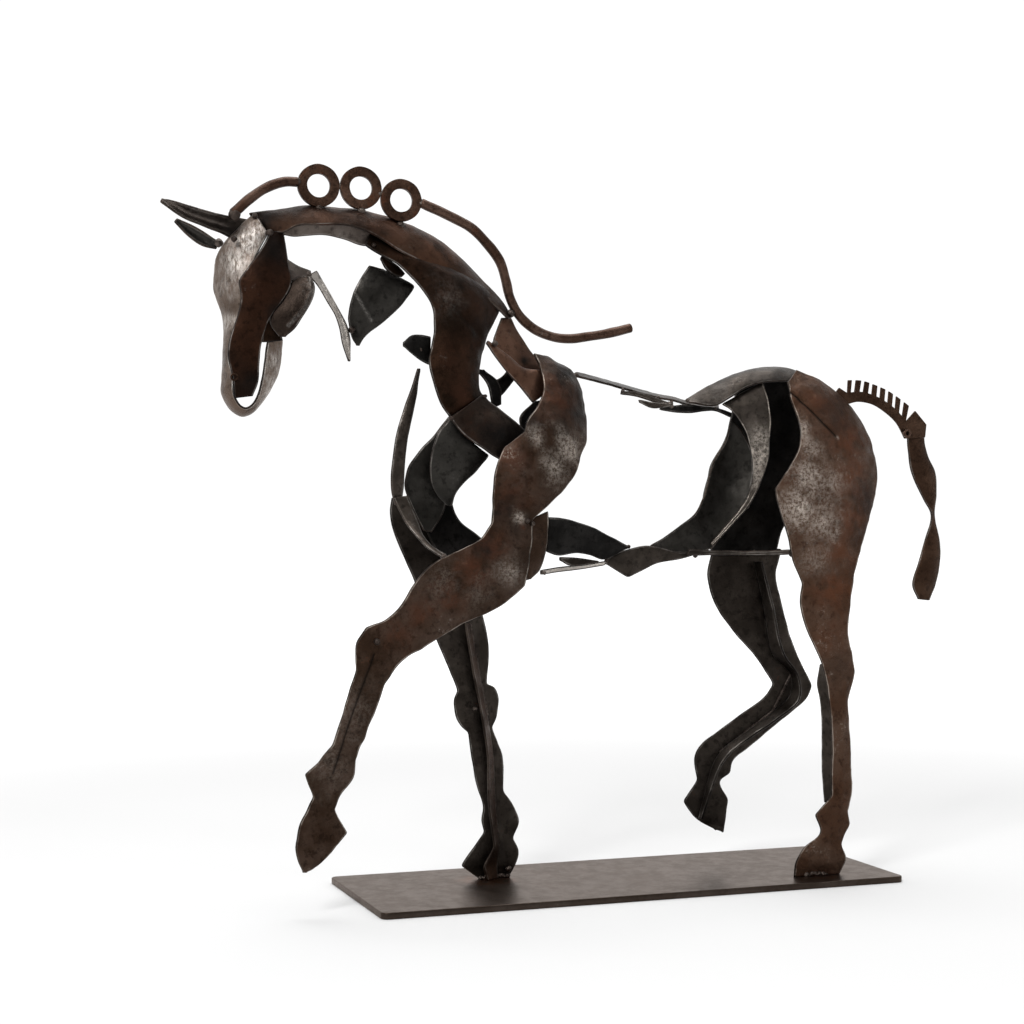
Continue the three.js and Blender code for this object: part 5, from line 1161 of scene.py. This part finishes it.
# Welds in x, y, z and radius, as weld_object takes them
WELDS = {
    "welds_mane": [
        (-181, -4, 422.7, 2.0), (-155.6, -4, 419.8, 2.0), (-194, -4, 409.2, 2.4),
        (-168, -4, 408.6, 2.4), (-143.5, -4, 402.2, 2.6), (-207.5, -4, 424.2, 2.2),
        (-129.8, -4, 415.2, 2.4), (-246, -9.5, 401.5, 2.8), (-73.5, -5, 351, 2.2)],
    "welds_head": [
        (-232.5, -6.5, 402.5, 2.0), (-225, -11.5, 392.5, 2.6), (-245.5, -11, 388, 2.2),
        (-251.5, 8, 387, 2.2), (-174.5, -6.5, 337.5, 2.0), (-201, -9, 369, 2.0)],
    "welds_neck": [
        ((-118.5, -26, 284.5), (-95, -20.5, 298.5), 1.2), (-162, -13, 387.5, 1.8),
        (-133, -12.5, 326, 1.4), (-109, -17, 279, 1.6), (-88, -18, 331, 1.6)],
    "welds_legs": [
        (-75, -39.6, 223.5, 1.3), (-71.5, -39.4, 222, 1.1), (-168, -38.6, 153.5, 1.6),
        (-90, 13.5, 107, 1.6), ((112, -39.5, 0.8), (126, -39.8, 0.6), 1.6), (-66, 20, 5, 2.0),
        ((-84, 20, 0.6), (-66, 20.5, 0.6), 1.6), (-126, -35, 202.5, 1.6)],
    "welds_body": [
        (-61, -31, 192, 1.0), (-13, -13, 198.5, 1.4), (49, -11, 202, 1.8), (104, -34, 202, 1.4),
        (46, -6, 299.5, 1.6), (122, -13, 316, 1.8), (87, -8, 232.5, 1.6), (3, -11, 207, 1.5),
        (-145, -7, 236, 1.5), (-32, -10, 314, 1.8), (30, -12, 297, 1.4)],
    "welds_fins": [
        ((127, -38.2, 131), (134, -38.2, 107.5), 0.8), ((134, -38.2, 107.5), (134, -38.2, 50), 0.8),
        ((-91, 20.4, 158), (-80, 20.4, 103), 0.9), ((-80, 20.4, 103), (-75, 20.4, 50), 0.9),
        ((-75, 20.4, 50), (-72.5, 20.4, 20), 0.9), ((109, 24.2, 194), (122, 24.2, 136), 0.9),
        ((134, 24.2, 120), (121, 24.2, 97), 0.9), ((121, 24.2, 97), (83, 24.2, 72), 0.9),
        ((76, 22.3, 202.5), (121, 22.3, 202.5), 1.6)],
    "welds_back": [
        ((20, -13, 299), (24, -10, 301.5), 1.0), ((28, -16.5, 295.8), (30, -13.5, 296.6), 1.0),
        ((-3, -14.5, 303), (-1, -11.5, 305.8), 1.0), ((34, -7, 295), (34, -7, 299), 1.0),
        ((64, -8, 294.5), (68, -2, 295), 1.1)],
}
for number, (name, spots) in enumerate(WELDS.items()):
    weld_object(name, spots, 71 + number)

# A white floor and a bright room behind the horse, which dim towards the near side, as in a studio
# where only the backdrop is lit, with a key light at the upper left
FLOOR_REACH = 9000.0
FLOOR_WHITE = 0.62
FLOOR_DIM = 0.42
FLOOR_GLOW = 0.12
FAR_FLOOR_GLOW = 0.75
ROOM_BEHIND = 1.05
ROOM_ABOVE = 0.7
ROOM_IN_FRONT = 0.25


def fade(tree, vector, axis, low, high, to_low, to_high):
    """A value that goes smoothly from one side of an axis to the other."""
    split = tree.nodes.new("ShaderNodeSeparateXYZ")
    link(tree, vector, split.inputs["Vector"])
    return ramp(tree, split.outputs[axis], low, high, to_low, to_high)


def studio_floor():
    """A white floor that glows a little, more so far off, and less on the camera's side."""
    material = bpy.data.materials.new("studio_white")
    material.use_nodes = True
    tree = material.node_tree
    shader = tree.nodes["Principled BSDF"]
    place = tree.nodes.new("ShaderNodeTexCoord").outputs["Object"]
    # The floor's colour is painted darker towards the camera's side, as painted shade, and its glow is
    # painted light
    link(tree, fade(tree, place, "Y", -1.6, -0.6, FLOOR_DIM, FLOOR_WHITE), shader.inputs["Base Color"])
    far_off = tree.nodes.new("ShaderNodeVectorMath")
    far_off.operation = "LENGTH"
    link(tree, place, far_off.inputs[0])
    glow = ramp(tree, far_off.outputs["Value"], 0.5, 1.6, FLOOR_GLOW, FAR_FLOOR_GLOW)
    near_side = fade(tree, place, "Y", -1.3, -0.5, 0.35, 1.0)
    link(tree, arithmetic(tree, "MULTIPLY", glow, near_side), shader.inputs["Emission Strength"])
    shader.inputs["Emission Color"].default_value = (1, 1, 1, 1)
    shader.inputs["Roughness"].default_value = 0.9
    shader.inputs["Specular IOR Level"].default_value = 0.1
    corners = np.array([(-1, -1, 0), (1, -1, 0), (1, 1, 0), (-1, 1, 0)]) * FLOOR_REACH
    new_object("studio_floor", corners, [(0, 1, 2, 3)], [material])


def studio_room():
    """Bright air behind and above the horse, and dim air in front of it."""
    world = bpy.data.worlds.new("studio_air")
    world.use_nodes = True
    tree = world.node_tree
    way = tree.nodes.new("ShaderNodeTexCoord").outputs["Generated"]
    level = fade(tree, way, "Y", -0.35, 0.6, ROOM_IN_FRONT, ROOM_BEHIND)
    above = fade(tree, way, "Z", 0.35, 0.9, 0.0, ROOM_ABOVE)
    strongest = tree.nodes.new("ShaderNodeMath")
    strongest.operation = "MAXIMUM"
    link(tree, level, strongest.inputs[0])
    link(tree, above, strongest.inputs[1])
    link(tree, strongest.outputs[0], tree.nodes["Background"].inputs["Strength"])
    tree.nodes["Background"].inputs["Color"].default_value = (1, 1, 1, 1)
    bpy.context.scene.world = world


def area_light(name, place, target, size, power):
    """A soft lamp that looks at its target."""
    data = bpy.data.lights.new(name, "AREA")
    data.shape = "RECTANGLE"
    data.size, data.size_y = size
    data.energy = power
    lamp = bpy.data.objects.new(name, data)
    lamp.location = place
    lamp.rotation_euler = (Vector(target) - Vector(place)).to_track_quat("-Z", "Y").to_euler()
    bpy.context.scene.collection.objects.link(lamp)


studio_floor()
studio_room()
# The lights' places, targets and sizes in metres, and their power in watts
MIDDLE = (0.0, 0.0, 0.22)
area_light("key", (-1.4, -1.3, 1.7), MIDDLE, (0.6, 0.6), 26)
area_light("top", (0.1, 0.3, 1.8), MIDDLE, (1.2, 0.9), 16)
area_light("side", (1.8, -1.5, 0.9), MIDDLE, (0.5, 0.9), 8)
area_light("glint", (-0.87, -0.97, 0.75), (-0.24, 0.0, 0.39), (0.12, 0.12), 1.3)
bpy.context.scene.view_settings.view_transform = "Standard"

# The photograph's view: level, a little to the front of the near side
CAMERA_PLACE = (-0.4767, -1.1371, 0.2332)
CAMERA_TURN = -19.66
CAMERA_LENS = 68.8
camera_data = bpy.data.cameras.new("photo_view")
camera_data.sensor_width = 36.0
camera_data.lens = CAMERA_LENS
camera = bpy.data.objects.new("photo_view", camera_data)
camera.location = CAMERA_PLACE
camera.rotation_euler = (math.radians(90), 0, math.radians(CAMERA_TURN))
bpy.context.scene.collection.objects.link(camera)
bpy.context.scene.camera = camera
